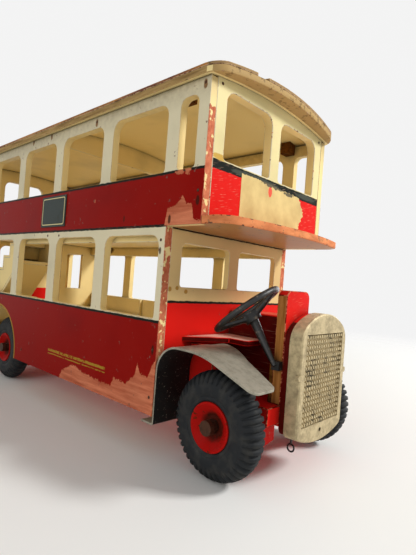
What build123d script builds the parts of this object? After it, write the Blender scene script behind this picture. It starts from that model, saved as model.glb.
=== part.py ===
from build123d import *
import math
import os

# Vintage wooden toy double decker bus: plywood body, open half cab, cast radiator, four rubber tyres.
# Frame: +X forward, +Y to the nearside (left), +Z up, floor at Z = 0, middle of the box at X = Y = 0.
# All lengths are in millimetres.

# Overall
LENGTH = 462.0
WIDTH = 140.0
SIDE_BOARD = 5.6
FIT = 0.05

# Stations along the bus, each measured back from the radiator face
FRONT_WALL_BACK = 48.3
CAB_BACK = 78.3
FRONT_AXLE_BACK = 38.1
REAR_WHEEL_CLEAR = 7.25
ROOF_REAR_LIP = 4.0

# Heights above the floor
SKIRT_Z = 29.0
CHASSIS_Z = 34.5
CHASSIS_DEPTH = 11.0
FLOOR_PLY = 4.0
UPPER_FLOOR_Z = 149.0
UPPER_FLOOR_PLY = 5.0
EAVE_Z = 236.5
ROOF_RISE = 6.5
ROOF_PLY = 4.3
ROOF_SKIN_PLY = 2.0

# Side windows, one bay after another from the front wall back
PILLAR = 12.5
FRONT_POST = 35.6
REAR_POST = 21.6
UPPER_BAYS = 5
LOWER_BAYS = 4
UPPER_PANEL = 34.2
UPPER_RAIL = 8.8
LOWER_SILL_Z = 89.3
LOWER_RAIL = 5.7
HEAD_RADIUS = 8.0
SILL_RADIUS = 2.5
NARROW_WINDOW_BACK = 8.8
NARROW_WINDOW = 15.7

# End walls
FRONT_WALL_PLY = 7.0
CAB_WALL_PLY = 4.6
REAR_WALL_PLY = 6.0
FRONT_PANEL = 41.3
FRONT_RAIL = 3.0
CAB_SILL_Z = 110.8
CAB_RAIL = 9.0
FRONT_MULLION = 11.0
FRONT_WINDOW = 49.0
REAR_WINDOW = 51.0

# Roof and canopy plan
ROOF_SIDE_LIP = 3.5
ROOF_FRONT_LIP = 6.5
ROOF_BOW = 5.5
ROOF_CORNER = 12.0
SKIN_CHIP_Y = -32.5
SKIN_CHIP_WIDTH = 9.0
CANOPY_LIP = 18.0
CANOPY_BOW = 9.0
CANOPY_CORNER = 13.0

# Rear wheel arches, entrance, bulkhead and staircase
ARCH_RADIUS = 44.0
BULKHEAD_PLY = 4.6
BULKHEAD_EDGE_Y = 16.0
BULKHEAD_WINDOW_Y = 23.5
BULKHEAD_WINDOW = 21.0
BULKHEAD_WINDOW_Z = 95.0
BULKHEAD_RAIL = 11.0
STAIR_AHEAD = 55.05
STAIR_GOING = 14.5
STAIR_RISERS = 8
STAIR_WIDTH = 33.0
STAIR_SHEET = 2.5
STRINGER_PLY = 3.0
STRINGER_DEPTH = 36.0
STAIR_LANDING = 8.8
SOFFIT_PLY = 2.5
STAIRWELL = 90.0

# Benches, battens, roof former and roof cleats
BENCH_PLY = 3.5
BENCH_WHEEL_CLEAR = 1.65
BENCH_SEAT_Z = 72.0
BENCH_FRONT_BACK = 214.7
BATTEN_DEPTH = 9.5
BATTEN_WIDTH = 8.0
FORMER_BACK = 175.0
FORMER_PLY = 5.0
FORMER_DEPTH = 12.9
CLEAT_BACK = 24.7
CLEAT_LENGTH = 9.0
CLEAT_WIDTH = 8.35
CLEAT_Z = 229.5

# Chassis board, bonnet, dash and cab
CHASSIS_WIDTH = 80.0
RADIATOR_DEPTH = 8.6
BACKING_DEPTH = 4.2
DASH_PLY = 6.6
DASH_TOP_Z = 114.0
DASH_RADIUS = 5.0
DASH_CHAMFER = 3.0
BONNET_TOP_Z = 96.3
BONNET_WIDTH = 27.4
BONNET_OFFSIDE_Y = -1.0
BONNET_RADIUS = 2.0
CAB_FLOOR_Z = 75.0
CAB_FLOOR_PLY = 3.5
CAB_FLOOR_REACH = 33.0
CAB_FLOOR_SLANT = 17.8
CAB_FLOOR_WIDE = 49.0
CAB_FLOOR_NARROW = 21.0
CAB_FLOOR_RADIUS = 3.0
CAB_PANEL_PLY = 4.0
CAB_PANEL_LENGTH = 21.0
TOE_BOARD_PLY = 2.4
TOE_BOARD_Z = 69.8

# Radiator casting
RADIATOR_WIDTH = 57.0
RADIATOR_SHOULDER_Z = 89.7
RADIATOR_TOP_Z = 101.2
RADIATOR_HEEL_Z = 28.7
RADIATOR_FOOT_Z = 22.6
RADIATOR_TOP_RADIUS = 13.0
RADIATOR_FOOT_RADIUS = 5.0
RADIATOR_EDGE = 0.8
GRILLE_WIDTH = 46.6
GRILLE_FOOT_Z = 34.0
GRILLE_HEAD_Z = 89.0
GRILLE_DEPTH = 1.7
STUD_COLUMNS = 16
STUD_ROWS = 18
STUD_FILL = 0.74
STUD_LENGTH = 1.5
STUD_DRAFT = 12.0
STUD_ROOT = 0.2
LUG_RADIUS = 1.8
LUG_LENGTH = 2.4
LUG_Z = 64.0
CRANK_HOLE = 1.4
CRANK_HOLE_Z = 29.5
BACKING_INSET = 0.8

# Steering column and wheel
COLUMN_TILT = 55.0
COLUMN_TOP_RADIUS = 3.2
COLUMN_FOOT_RADIUS = 1.6
COLUMN_FOOT_Z = 69.0
COLUMN_FOOT_BACK = 3.0
COLUMN_LENGTH = 32.0
COLUMN_STANDOFF = 4.0
COLUMN_PAD = 5.2
STEERING_TILT = 50.5
STEERING_LEAN = 24.0
RIM_RADIUS = 22.2
RIM_WIRE = 2.1
RIM_SIDES = 6
STEERING_DISH = 3.5
SPOKE_ANGLES = (106.6, 140.6, 286.6, 320.6)
SPOKE_WIRE = 1.4
SPOKE_START = 3.0
HUB_RADIUS = 5.2
HUB_LENGTH = 6.0

# Mudguards, bent from sheet
SHEET = 1.2
MUDGUARD_FOOT = 10.0
MUDGUARD_DROP = 5.0
MUDGUARD_REACH = 46.0
MUDGUARD_FLAT = 8.0
MUDGUARD_TIP_Z = 60.0
MUDGUARD_HEEL_RADIUS = 17.0
MUDGUARD_NOSE_RADIUS = 60.0
MUDGUARD_CORNER = 5.0
OFFSIDE_GUARD_EDGE = 69.5
NEARSIDE_GUARD_EDGE = 58.0
NEARSIDE_GUARD_SHORT = 12.0
GUARD_INNER_REAR = 26.5
GUARD_INNER_MIDDLE = 41.0
GUARD_INNER_TIP = 49.0
GUARD_REAR_REACH = -9.0
GUARD_MIDDLE_REACH = 19.0

# Axles and wheels
TYRE_RADIUS = 32.0
TYRE_WIDTH = 17.0
COLLAR_LENGTH = 4.2
TYRE_SHOULDER = 4.2
DISC_RADIUS = 14.5
DISC_PLATE = 1.2
DISC_DISH = 5.0
NAVE_RADIUS = 6.0
AXLE_RADIUS = 2.4
BORE_CLEARANCE = 0.08
RUNNING_GAP = 0.3
NUT_RADIUS = 4.3
NUT_LENGTH = 3.4
HEAD_RADIUS_AXLE = 4.4
HEAD_LENGTH = 3.4
HEAD_REACH = 2.8
COLLAR_RADIUS = 4.4
HANGER_LENGTH = 26.0
HANGER_INNER_Y = 12.0
HANGER_FOOT_Z = 13.0
HANGER_SLANT = 5.0

# Small pieces
PLATE_LENGTH = 41.5
PLATE_HEIGHT = 26.5
PLATE_THICKNESS = 0.8
PLATE_BACK = 157.0
PLATE_Z = 153.0
EYE_WIRE = 0.6
EYE_RADIUS = 2.4
EYE_STEM = 20.3
EYE_REACH = 29.0

# Places worked out from the sizes above
FACE_X = LENGTH / 2
FRONT_X = FACE_X - FRONT_WALL_BACK
CAB_X = FACE_X - CAB_BACK
REAR_X = -LENGTH / 2 + ROOF_REAR_LIP
FRONT_AXLE_X = FACE_X - FRONT_AXLE_BACK
HALF = WIDTH / 2
INSIDE = HALF - SIDE_BOARD - FIT
FLOOR_TOP_Z = CHASSIS_Z + CHASSIS_DEPTH + FLOOR_PLY
CHASSIS_TOP_Z = CHASSIS_Z + CHASSIS_DEPTH
UPPER_DECK_Z = UPPER_FLOOR_Z + UPPER_FLOOR_PLY
BAY_WINDOW = (FRONT_X - REAR_X - FRONT_POST - REAR_POST + PILLAR) / UPPER_BAYS - PILLAR
BAY_PITCH = BAY_WINDOW + PILLAR
BULKHEAD_X = FRONT_X - FRONT_POST - LOWER_BAYS * BAY_PITCH + (PILLAR + BULKHEAD_PLY) / 2
REAR_AXLE_X = BULKHEAD_X + REAR_WHEEL_CLEAR + TYRE_RADIUS
UPPER_SILL_Z = UPPER_FLOOR_Z + UPPER_PANEL
UPPER_HEAD_Z = EAVE_Z - UPPER_RAIL
LOWER_HEAD_Z = UPPER_FLOOR_Z - LOWER_RAIL
FRONT_SILL_Z = UPPER_FLOOR_Z + FRONT_PANEL
FRONT_HEAD_Z = EAVE_Z - FRONT_RAIL
CAB_HEAD_Z = UPPER_FLOOR_Z - CAB_RAIL
FORMER_Z = EAVE_Z - FORMER_DEPTH
BACKING_X = FACE_X - RADIATOR_DEPTH - BACKING_DEPTH
DASH_OFFSIDE_Y = -RADIATOR_WIDTH / 2 + BACKING_INSET
STAIR_X = BULKHEAD_X + STAIR_AHEAD
STAIR_RISE = (UPPER_DECK_Z - FLOOR_TOP_Z) / STAIR_RISERS
STAIR_SLOPE = STAIR_RISE / STAIR_GOING
STAIR_HEAD_X = STAIR_X + STAIR_SHEET
LANDING_X = STAIR_HEAD_X + STAIR_LANDING
HANGER_OUTER_Y = CHASSIS_WIDTH / 2
TYRE_INNER_Y = HANGER_OUTER_Y + COLLAR_LENGTH + RUNNING_GAP
TYRE_OUTER_Y = TYRE_INNER_Y + TYRE_WIDTH
BENCH_FRONT_Y = TYRE_INNER_Y - BENCH_WHEEL_CLEAR - BENCH_PLY
HEAD_OUTER_Y = TYRE_OUTER_Y + HEAD_REACH


def block(x0, x1, y0, y1, z0, z1):
    """Plain board or block between its six faces."""
    return Pos((x0 + x1) / 2, (y0 + y1) / 2, (z0 + z1) / 2) * Box(x1 - x0, y1 - y0, z1 - z0)


def rect(u0, u1, v0, v1):
    return Pos((u0 + u1) / 2, (v0 + v1) / 2) * Rectangle(u1 - u0, v1 - v0)


def window(u0, u1, v0, v1, head=HEAD_RADIUS, sill=SILL_RADIUS):
    """Window outline with its two head corners and two sill corners rounded."""
    face = rect(u0, u1, v0, v1)
    face = fillet(face.vertices().group_by(Axis.Y)[-1], head)
    return fillet(face.vertices().group_by(Axis.Y)[0], sill)


def board_xz(face, y0, y1):
    """Extrudes an outline drawn in X and Z between two Y faces."""
    return extrude(Plane.XZ.offset(-y1) * face, amount=y1 - y0)


def board_yz(face, x0, x1):
    """Extrudes an outline drawn in Y and Z between two X faces."""
    return extrude(Plane.YZ.offset(x0) * face, amount=x1 - x0)


def board_xy(face, z0, z1):
    """Extrudes an outline drawn in X and Y between two Z faces."""
    return extrude(Plane.XY.offset(z0) * face, amount=z1 - z0)


def arch_face(crown_z, foot_z, half_width):
    """Face in Y and Z under the roof's arc, whose crown is at crown_z and which spans the roof width."""
    span = HALF + ROOF_SIDE_LIP
    radius = (span ** 2 + ROOF_RISE ** 2) / (2 * ROOF_RISE)
    end_z = crown_z - radius + math.sqrt(radius ** 2 - half_width ** 2)
    top = ThreePointArc((-half_width, end_z), (0, crown_z), (half_width, end_z))
    sides = Polyline((half_width, end_z), (half_width, foot_z), (-half_width, foot_z), (-half_width, end_z))
    return make_face(top + sides)


def bay_span(bay):
    """Rear and front X of the window in a bay, counted from the front."""
    front = FRONT_X - FRONT_POST - bay * BAY_PITCH
    return front - BAY_WINDOW, front


def upper_side():
    face = rect(REAR_X, FRONT_X, UPPER_FLOOR_Z, EAVE_Z)
    for bay in range(UPPER_BAYS):
        rear, front = bay_span(bay)
        face -= window(rear, front, UPPER_SILL_Z, UPPER_HEAD_Z)
    narrow_front = FRONT_X - NARROW_WINDOW_BACK
    face -= window(narrow_front - NARROW_WINDOW, narrow_front, UPPER_SILL_Z, UPPER_HEAD_Z, NARROW_WINDOW / 3)
    return face


def lower_side():
    face = rect(REAR_X, CAB_X, SKIRT_Z, UPPER_FLOOR_Z)
    face -= Pos(REAR_AXLE_X, TYRE_RADIUS) * Circle(ARCH_RADIUS)
    for bay in range(LOWER_BAYS):
        rear, front = bay_span(bay)
        face -= window(rear, front, LOWER_SILL_Z, LOWER_HEAD_Z)
    return face


def entrance():
    rear, front = bay_span(LOWER_BAYS)
    return window(rear, front, FLOOR_TOP_Z, LOWER_HEAD_Z, HEAD_RADIUS, SILL_RADIUS)


def bow_outline(front_x, rear_x, half_width, bow, corner):
    """Plan outline with a bowed front edge whose two corners are rounded."""
    sides = Polyline(
        (front_x, -half_width), (rear_x, -half_width), (rear_x, half_width), (front_x, half_width))
    nose = ThreePointArc((front_x, half_width), (front_x + bow, 0), (front_x, -half_width))
    face = make_face(sides + nose)
    return fillet(face.vertices().group_by(Axis.X)[-1], corner)


def roof_layer(lower, upper):
    """One ply of the arched roof, between two heights above the roof's underside."""
    span = HALF + ROOF_SIDE_LIP
    crown = EAVE_Z + ROOF_RISE
    beyond = span + ROOF_SIDE_LIP
    sheet = arch_face(crown + upper, EAVE_Z - ROOF_RISE, beyond)
    sheet -= arch_face(crown + lower, EAVE_Z - 2 * ROOF_RISE, beyond)
    front = FRONT_X + ROOF_FRONT_LIP
    band = board_yz(sheet, -LENGTH, front + 2 * ROOF_BOW)
    outline = bow_outline(front, -LENGTH / 2, span, ROOF_BOW, ROOF_CORNER)
    return band & board_xy(outline, EAVE_Z - 3 * ROOF_RISE, crown + 2 * upper)


def roof_skin():
    """Thin top ply, with the piece that has broken out of its front edge."""
    skin = roof_layer(ROOF_PLY, ROOF_PLY + ROOF_SKIN_PLY)
    tip_x = FRONT_X + ROOF_FRONT_LIP + ROOF_BOW
    inner_x = tip_x - ROOF_BOW
    chip = make_face(Polyline(
        (tip_x, SKIN_CHIP_Y - SKIN_CHIP_WIDTH), (tip_x, SKIN_CHIP_Y + SKIN_CHIP_WIDTH / 2),
        (inner_x, SKIN_CHIP_Y + SKIN_CHIP_WIDTH / 3), (inner_x, SKIN_CHIP_Y - SKIN_CHIP_WIDTH / 4),
        close=True))
    return skin - board_xy(chip, EAVE_Z, EAVE_Z + ROOF_RISE + 2 * ROOF_PLY)


def upper_floor():
    canopy = bow_outline(FRONT_X + CANOPY_LIP, FRONT_X, HALF, CANOPY_BOW, CANOPY_CORNER)
    deck = rect(REAR_X + REAR_WALL_PLY, FRONT_X, -INSIDE, INSIDE)
    well = rect(STAIR_X - STAIRWELL, STAIR_X, -INSIDE, -INSIDE + STAIR_WIDTH)
    return board_xy(canopy + deck - well, UPPER_FLOOR_Z, UPPER_DECK_Z)


def front_window_pair(z0, z1, head):
    pair = Sketch()
    for side in (-1, 1):
        near = side * FRONT_MULLION / 2
        far = side * (FRONT_MULLION / 2 + FRONT_WINDOW)
        pair += window(min(near, far), max(near, far), z0, z1, head)
    return pair


def under_roof(face, x0, x1):
    """End wall or former between the side boards, its top following the underside of the roof."""
    arch = arch_face(EAVE_Z + ROOF_RISE, 0, INSIDE)
    return board_yz(face & arch, x0, x1)


def upper_front_wall():
    face = rect(-INSIDE, INSIDE, UPPER_DECK_Z, EAVE_Z + 2 * ROOF_RISE)
    face -= front_window_pair(FRONT_SILL_Z, FRONT_HEAD_Z, HEAD_RADIUS)
    return under_roof(face, FRONT_X - FRONT_WALL_PLY, FRONT_X)


def upper_rear_wall():
    face = rect(-INSIDE, INSIDE, UPPER_FLOOR_Z, EAVE_Z + 2 * ROOF_RISE)
    face -= window(-REAR_WINDOW / 2, REAR_WINDOW / 2, UPPER_SILL_Z, UPPER_HEAD_Z)
    return under_roof(face, REAR_X, REAR_X + REAR_WALL_PLY)


def lower_rear_wall():
    face = rect(-INSIDE, INSIDE, CHASSIS_TOP_Z, UPPER_FLOOR_Z)
    face -= window(-REAR_WINDOW / 2, REAR_WINDOW / 2, LOWER_SILL_Z, LOWER_HEAD_Z)
    return board_yz(face, REAR_X, REAR_X + REAR_WALL_PLY)


def cab_back_wall():
    face = rect(-INSIDE, INSIDE, CHASSIS_TOP_Z, UPPER_FLOOR_Z)
    face -= front_window_pair(CAB_SILL_Z, CAB_HEAD_Z, HEAD_RADIUS / 2)
    return board_yz(face, CAB_X - CAB_WALL_PLY, CAB_X)


def saloon_bulkhead():
    """Wall with a small window beside the open way to the platform."""
    face = rect(BULKHEAD_EDGE_Y, INSIDE, FLOOR_TOP_Z, UPPER_FLOOR_Z)
    window_far = BULKHEAD_WINDOW_Y + BULKHEAD_WINDOW
    face -= rect(BULKHEAD_WINDOW_Y, window_far, BULKHEAD_WINDOW_Z, UPPER_FLOOR_Z - BULKHEAD_RAIL)
    face -= rect(INSIDE - BATTEN_WIDTH - FIT, INSIDE, UPPER_FLOOR_Z - BATTEN_DEPTH - FIT, UPPER_FLOOR_Z)
    return board_yz(face, BULKHEAD_X - BULKHEAD_PLY, BULKHEAD_X)


def saloon_floor():
    face = rect(REAR_X + REAR_WALL_PLY, CAB_X - CAB_WALL_PLY, -INSIDE, INSIDE)
    slot_inner = CHASSIS_WIDTH / 2 + FIT
    for side in (-1, 1):
        y_mid = side * (slot_inner + INSIDE) / 2
        slot = Pos(REAR_AXLE_X, y_mid) * Rectangle(2 * TYRE_RADIUS + HEAD_LENGTH, INSIDE - slot_inner)
        face -= slot
    return board_xy(face, CHASSIS_TOP_Z, FLOOR_TOP_Z)


def chassis_board():
    half = CHASSIS_WIDTH / 2
    return block(REAR_X + REAR_WALL_PLY, BACKING_X, -half, half, CHASSIS_Z, CHASSIS_TOP_Z)


def stair_points(drop):
    """Corners of the stair's zigzag from the upper deck down, each lowered by a drop."""
    points = [(STAIR_X, UPPER_DECK_Z - UPPER_FLOOR_PLY - drop)]
    for step in range(1, STAIR_RISERS):
        x_near = STAIR_X - (step - 1) * STAIR_GOING - drop
        z_tread = UPPER_DECK_Z - step * STAIR_RISE - drop
        points += [(x_near, z_tread), (x_near - STAIR_GOING, z_tread)]
    return points


def stair_steps():
    """Folded treads and risers, laid on the two stringers."""
    top = stair_points(0)
    top[0] = (STAIR_X, UPPER_FLOOR_Z)
    foot_x = STAIR_X - (STAIR_RISERS - 1) * STAIR_GOING
    outer = top + [(foot_x, FLOOR_TOP_Z), (foot_x + STAIR_SHEET, FLOOR_TOP_Z)]
    inner = []
    for step in range(STAIR_RISERS - 1, 0, -1):
        z_under = UPPER_DECK_Z - step * STAIR_RISE - STAIR_SHEET
        x_far = STAIR_X - step * STAIR_GOING + STAIR_SHEET
        inner += [(x_far, z_under), (x_far + STAIR_GOING, z_under)]
    inner[-1] = (STAIR_HEAD_X, inner[-1][1])
    inner.append((STAIR_HEAD_X, UPPER_FLOOR_Z))
    face = make_face(Polyline(*outer, *inner, close=True))
    inside_y = -INSIDE + STAIR_WIDTH
    return board_xz(face, -INSIDE, inside_y)


def soffit_z(x):
    """Height of the stair's straight underside at a station along the bus."""
    head_z = UPPER_DECK_Z - STAIR_SHEET - STRINGER_DEPTH
    return head_z + STAIR_SLOPE * (x - STAIR_HEAD_X)


def soffit_foot_x():
    """Station where the stair's straight underside meets the saloon floor."""
    return STAIR_HEAD_X - (soffit_z(STAIR_HEAD_X) - FLOOR_TOP_Z) / STAIR_SLOPE


def stringer_face():
    """Zigzag stringer under the folded steps, run on under the upper floor, its own underside straight."""
    points = []
    for step in range(STAIR_RISERS - 1, 0, -1):
        z_under = UPPER_DECK_Z - step * STAIR_RISE - STAIR_SHEET
        x_far = STAIR_X - step * STAIR_GOING + STAIR_SHEET
        points += [(x_far, z_under), (x_far + STAIR_GOING, z_under)]
    foot_x = points[0][0]
    points += [(STAIR_HEAD_X, UPPER_FLOOR_Z), (LANDING_X, UPPER_FLOOR_Z), (LANDING_X, soffit_z(LANDING_X))]
    points += [(soffit_foot_x(), FLOOR_TOP_Z), (foot_x, FLOOR_TOP_Z)]
    return make_face(Polyline(*points, close=True))


def stair_soffit():
    """Board that closes the stair along the straight underside of both stringers."""
    drop = SOFFIT_PLY * math.hypot(1, STAIR_SLOPE)
    foot_x = soffit_foot_x()
    profile = Polyline(
        (LANDING_X, soffit_z(LANDING_X)), (foot_x, FLOOR_TOP_Z), (foot_x + drop / STAIR_SLOPE, FLOOR_TOP_Z),
        (LANDING_X, soffit_z(LANDING_X) - drop), close=True)
    return board_xz(make_face(profile), -INSIDE, -INSIDE + STAIR_WIDTH)


def stringer(y0):
    return board_xz(stringer_face(), y0, y0 + STRINGER_PLY)


def bench(side, rear_x):
    """Wall bench over the wheel: backrest, seat and front riser in one profile."""
    wall = INSIDE
    front = BENCH_FRONT_Y
    profile = Polyline(
        (wall, BENCH_SEAT_Z - BENCH_PLY), (wall, LOWER_SILL_Z), (wall - BENCH_PLY, LOWER_SILL_Z),
        (wall - BENCH_PLY, BENCH_SEAT_Z), (front, BENCH_SEAT_Z), (front, FLOOR_TOP_Z),
        (front + BENCH_PLY, FLOOR_TOP_Z), (front + BENCH_PLY, BENCH_SEAT_Z - BENCH_PLY), close=True)
    one = board_yz(make_face(profile), rear_x, FRONT_X - BENCH_FRONT_BACK)
    return one if side > 0 else mirror(one, about=Plane.XZ)


def batten(side):
    """Rail under the upper floor, along the head of the lower windows."""
    y_out = side * INSIDE
    y_in = side * (INSIDE - BATTEN_WIDTH)
    rear = REAR_X + REAR_WALL_PLY
    if side < 0:
        rear = LANDING_X + FIT
    return block(rear, CAB_X - CAB_WALL_PLY, min(y_out, y_in), max(y_out, y_in),
                 UPPER_FLOOR_Z - BATTEN_DEPTH, UPPER_FLOOR_Z)


def roof_former():
    x_front = FRONT_X - FORMER_BACK
    face = rect(-INSIDE, INSIDE, FORMER_Z, EAVE_Z + 2 * ROOF_RISE)
    return under_roof(face, x_front - FORMER_PLY, x_front)


def roof_cleats():
    """Bare wooden blocks in the two front corners under the roof, against the side boards."""
    x_front = FRONT_X - CLEAT_BACK
    face = rect(INSIDE - CLEAT_WIDTH, INSIDE, CLEAT_Z, EAVE_Z + 2 * ROOF_RISE)
    one = under_roof(face, x_front - CLEAT_LENGTH, x_front)
    return Compound([one, mirror(one, about=Plane.XZ)])


def bonnet():
    y0 = BONNET_OFFSIDE_Y
    body = block(CAB_X, BACKING_X, y0, y0 + BONNET_WIDTH, CHASSIS_TOP_Z, BONNET_TOP_Z)
    top_edges = body.edges().filter_by(Axis.X).group_by(Axis.Z)[-1]
    return fillet(top_edges, BONNET_RADIUS)


def dash():
    face = rect(DASH_OFFSIDE_Y, BONNET_OFFSIDE_Y, CHASSIS_TOP_Z, DASH_TOP_Z)
    corner = face.vertices().group_by(Axis.Y)[-1].sort_by(Axis.X)[-1]
    face = fillet(corner, DASH_RADIUS)
    body = board_yz(face, BACKING_X - DASH_PLY, BACKING_X)
    edge = body.edges().filter_by(Axis.X).group_by(Axis.Y)[0].sort_by(Axis.Z)[-1]
    return chamfer(edge, DASH_CHAMFER)


def cab_floor():
    """Driver's floor, its offside edge cut back on a slant, with a rounded front corner."""
    front = CAB_X + CAB_FLOOR_REACH
    face = make_face(Polyline(
        (CAB_X, -CAB_FLOOR_WIDE), (CAB_X, BONNET_OFFSIDE_Y), (front, BONNET_OFFSIDE_Y),
        (front, -CAB_FLOOR_NARROW), (CAB_X + CAB_FLOOR_SLANT, -CAB_FLOOR_NARROW), close=True))
    corner = face.vertices().group_by(Axis.X)[-1].sort_by(Axis.Y)[0]
    face = fillet(corner, CAB_FLOOR_RADIUS)
    return board_xy(face, CAB_FLOOR_Z, CAB_FLOOR_Z + CAB_FLOOR_PLY)


def cab_panel():
    y_out = -CHASSIS_WIDTH / 2
    top_z = CAB_FLOOR_Z - SHEET
    return block(CAB_X, CAB_X + CAB_PANEL_LENGTH, y_out, y_out + CAB_PANEL_PLY, CHASSIS_TOP_Z, top_z)


def toe_board():
    """Bare board that stands on the chassis board against the back of the dash."""
    front = BACKING_X - DASH_PLY
    return block(front - TOE_BOARD_PLY, front, DASH_OFFSIDE_Y, BONNET_OFFSIDE_Y, CHASSIS_TOP_Z, TOE_BOARD_Z)


def radiator_face(inset):
    """Outline with a bowed, round-shouldered head and a bowed foot."""
    half = RADIATOR_WIDTH / 2 - inset
    head = ThreePointArc((-half, RADIATOR_SHOULDER_Z - inset), (0, RADIATOR_TOP_Z - inset),
                         (half, RADIATOR_SHOULDER_Z - inset))
    foot = ThreePointArc((half, RADIATOR_HEEL_Z + inset), (0, RADIATOR_FOOT_Z + inset),
                         (-half, RADIATOR_HEEL_Z + inset))
    left = Line((half, RADIATOR_SHOULDER_Z - inset), (half, RADIATOR_HEEL_Z + inset))
    right = Line((-half, RADIATOR_HEEL_Z + inset), (-half, RADIATOR_SHOULDER_Z - inset))
    face = make_face(head + left + foot + right)
    face = fillet(face.vertices().group_by(Axis.Y)[-1], RADIATOR_TOP_RADIUS)
    return fillet(face.vertices().group_by(Axis.Y)[0], RADIATOR_FOOT_RADIUS)


def grille_stud(width, height):
    """Square stud that tapers to a flat head, made from its root along +X."""
    length = STUD_LENGTH + STUD_ROOT
    inset = length * math.tan(math.radians(STUD_DRAFT))
    frustum = Wedge(width, length, height, inset, inset, width - inset, height - inset)
    return Pos((STUD_LENGTH - STUD_ROOT) / 2, 0, 0) * Rot(0, 0, -90) * frustum


def radiator():
    """Casting with a field of tapered studs standing in its recess."""
    back = FACE_X - RADIATOR_DEPTH
    floor_x = FACE_X - GRILLE_DEPTH
    body = board_yz(radiator_face(0), back, FACE_X)
    edges = body.edges().filter_by(lambda e: abs(e.center().X - FACE_X) < 0.01)
    body = chamfer(edges, RADIATOR_EDGE)
    recess = rect(-GRILLE_WIDTH / 2, GRILLE_WIDTH / 2, GRILLE_FOOT_Z, GRILLE_HEAD_Z)
    body -= board_yz(recess, floor_x, FACE_X)
    body -= Pos(floor_x, 0, CRANK_HOLE_Z) * Rot(0, 90, 0) * Cylinder(CRANK_HOLE, 2 * GRILLE_DEPTH)
    for side in (-1, 1):
        lug = Pos(FACE_X - LUG_LENGTH / 2, side * RADIATOR_WIDTH / 2, LUG_Z) * Rot(0, 90, 0)
        body += lug * Cylinder(LUG_RADIUS, LUG_LENGTH)
    pitch_y = GRILLE_WIDTH / STUD_COLUMNS
    pitch_z = (GRILLE_HEAD_Z - GRILLE_FOOT_Z) / STUD_ROWS
    stud = grille_stud(pitch_y * STUD_FILL, pitch_z * STUD_FILL)
    middle = Pos(floor_x, 0, (GRILLE_HEAD_Z + GRILLE_FOOT_Z) / 2)
    studs = [
        middle * Pos(0, place.position.X, place.position.Y) * stud
        for place in GridLocations(pitch_y, pitch_z, STUD_COLUMNS, STUD_ROWS)
    ]
    return body.fuse(*studs)


def radiator_backing():
    return board_yz(radiator_face(BACKING_INSET), BACKING_X, BACKING_X + BACKING_DEPTH)


def tilted_plane(origin, tilt, lean):
    """Plane facing up and back toward the driver, leaning a given angle toward the offside."""
    level = math.cos(math.radians(tilt))
    back = level * math.cos(math.radians(lean))
    aside = level * math.sin(math.radians(lean))
    return Plane(origin=origin, x_dir=(0, 1, 0), z_dir=(-back, -aside, math.sin(math.radians(tilt))))


def column_plane():
    """Plane at the column's foot, its normal along the column."""
    foot = (BACKING_X - COLUMN_FOOT_BACK, DASH_OFFSIDE_Y - COLUMN_STANDOFF, COLUMN_FOOT_Z)
    return tilted_plane(foot, COLUMN_TILT, 0)


def wheel_plane():
    """Plane at the column's head that the bent wheel's hub stands on."""
    return tilted_plane(column_plane().offset(COLUMN_LENGTH).origin, STEERING_TILT, STEERING_LEAN)


def steering_column():
    """Tapered column cut to the hub, with a flat pad that seats on the dash's offside edge."""
    reach = COLUMN_LENGTH + COLUMN_TOP_RADIUS
    cone = column_plane() * Pos(0, 0, reach / 2) * Cone(COLUMN_FOOT_RADIUS, COLUMN_TOP_RADIUS, reach)
    cone -= wheel_plane() * Pos(0, 0, reach / 2) * Box(reach, reach, reach)
    pad = Box(COLUMN_PAD, COLUMN_STANDOFF, COLUMN_PAD)
    return cone + Pos(BACKING_X - COLUMN_PAD / 2, DASH_OFFSIDE_Y - COLUMN_STANDOFF / 2, COLUMN_FOOT_Z) * pad


def steering_wheel():
    """Dished wheel: hub on the column's head, round rim and two pairs of straight spokes."""
    head = wheel_plane()
    hub = head * Pos(0, 0, HUB_LENGTH / 2) * Cylinder(HUB_RADIUS, HUB_LENGTH)
    section = make_face(Plane.XZ * Pos(RIM_RADIUS, 0) * RegularPolygon(RIM_WIRE, RIM_SIDES))
    wheel = hub + head.offset(HUB_LENGTH / 2 + STEERING_DISH) * revolve(section, axis=Axis.Z)
    reach = math.hypot(RIM_RADIUS, STEERING_DISH)
    rise = math.degrees(math.atan2(RIM_RADIUS, STEERING_DISH))
    for angle in SPOKE_ANGLES:
        turn = Rot(0, 0, angle) * Rot(0, rise, 0)
        length = reach - SPOKE_START
        spoke = Pos(0, 0, SPOKE_START + length / 2) * Box(2 * SPOKE_WIRE, 2 * SPOKE_WIRE, length)
        wheel += head.offset(HUB_LENGTH / 2) * turn * spoke
    return wheel


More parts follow.
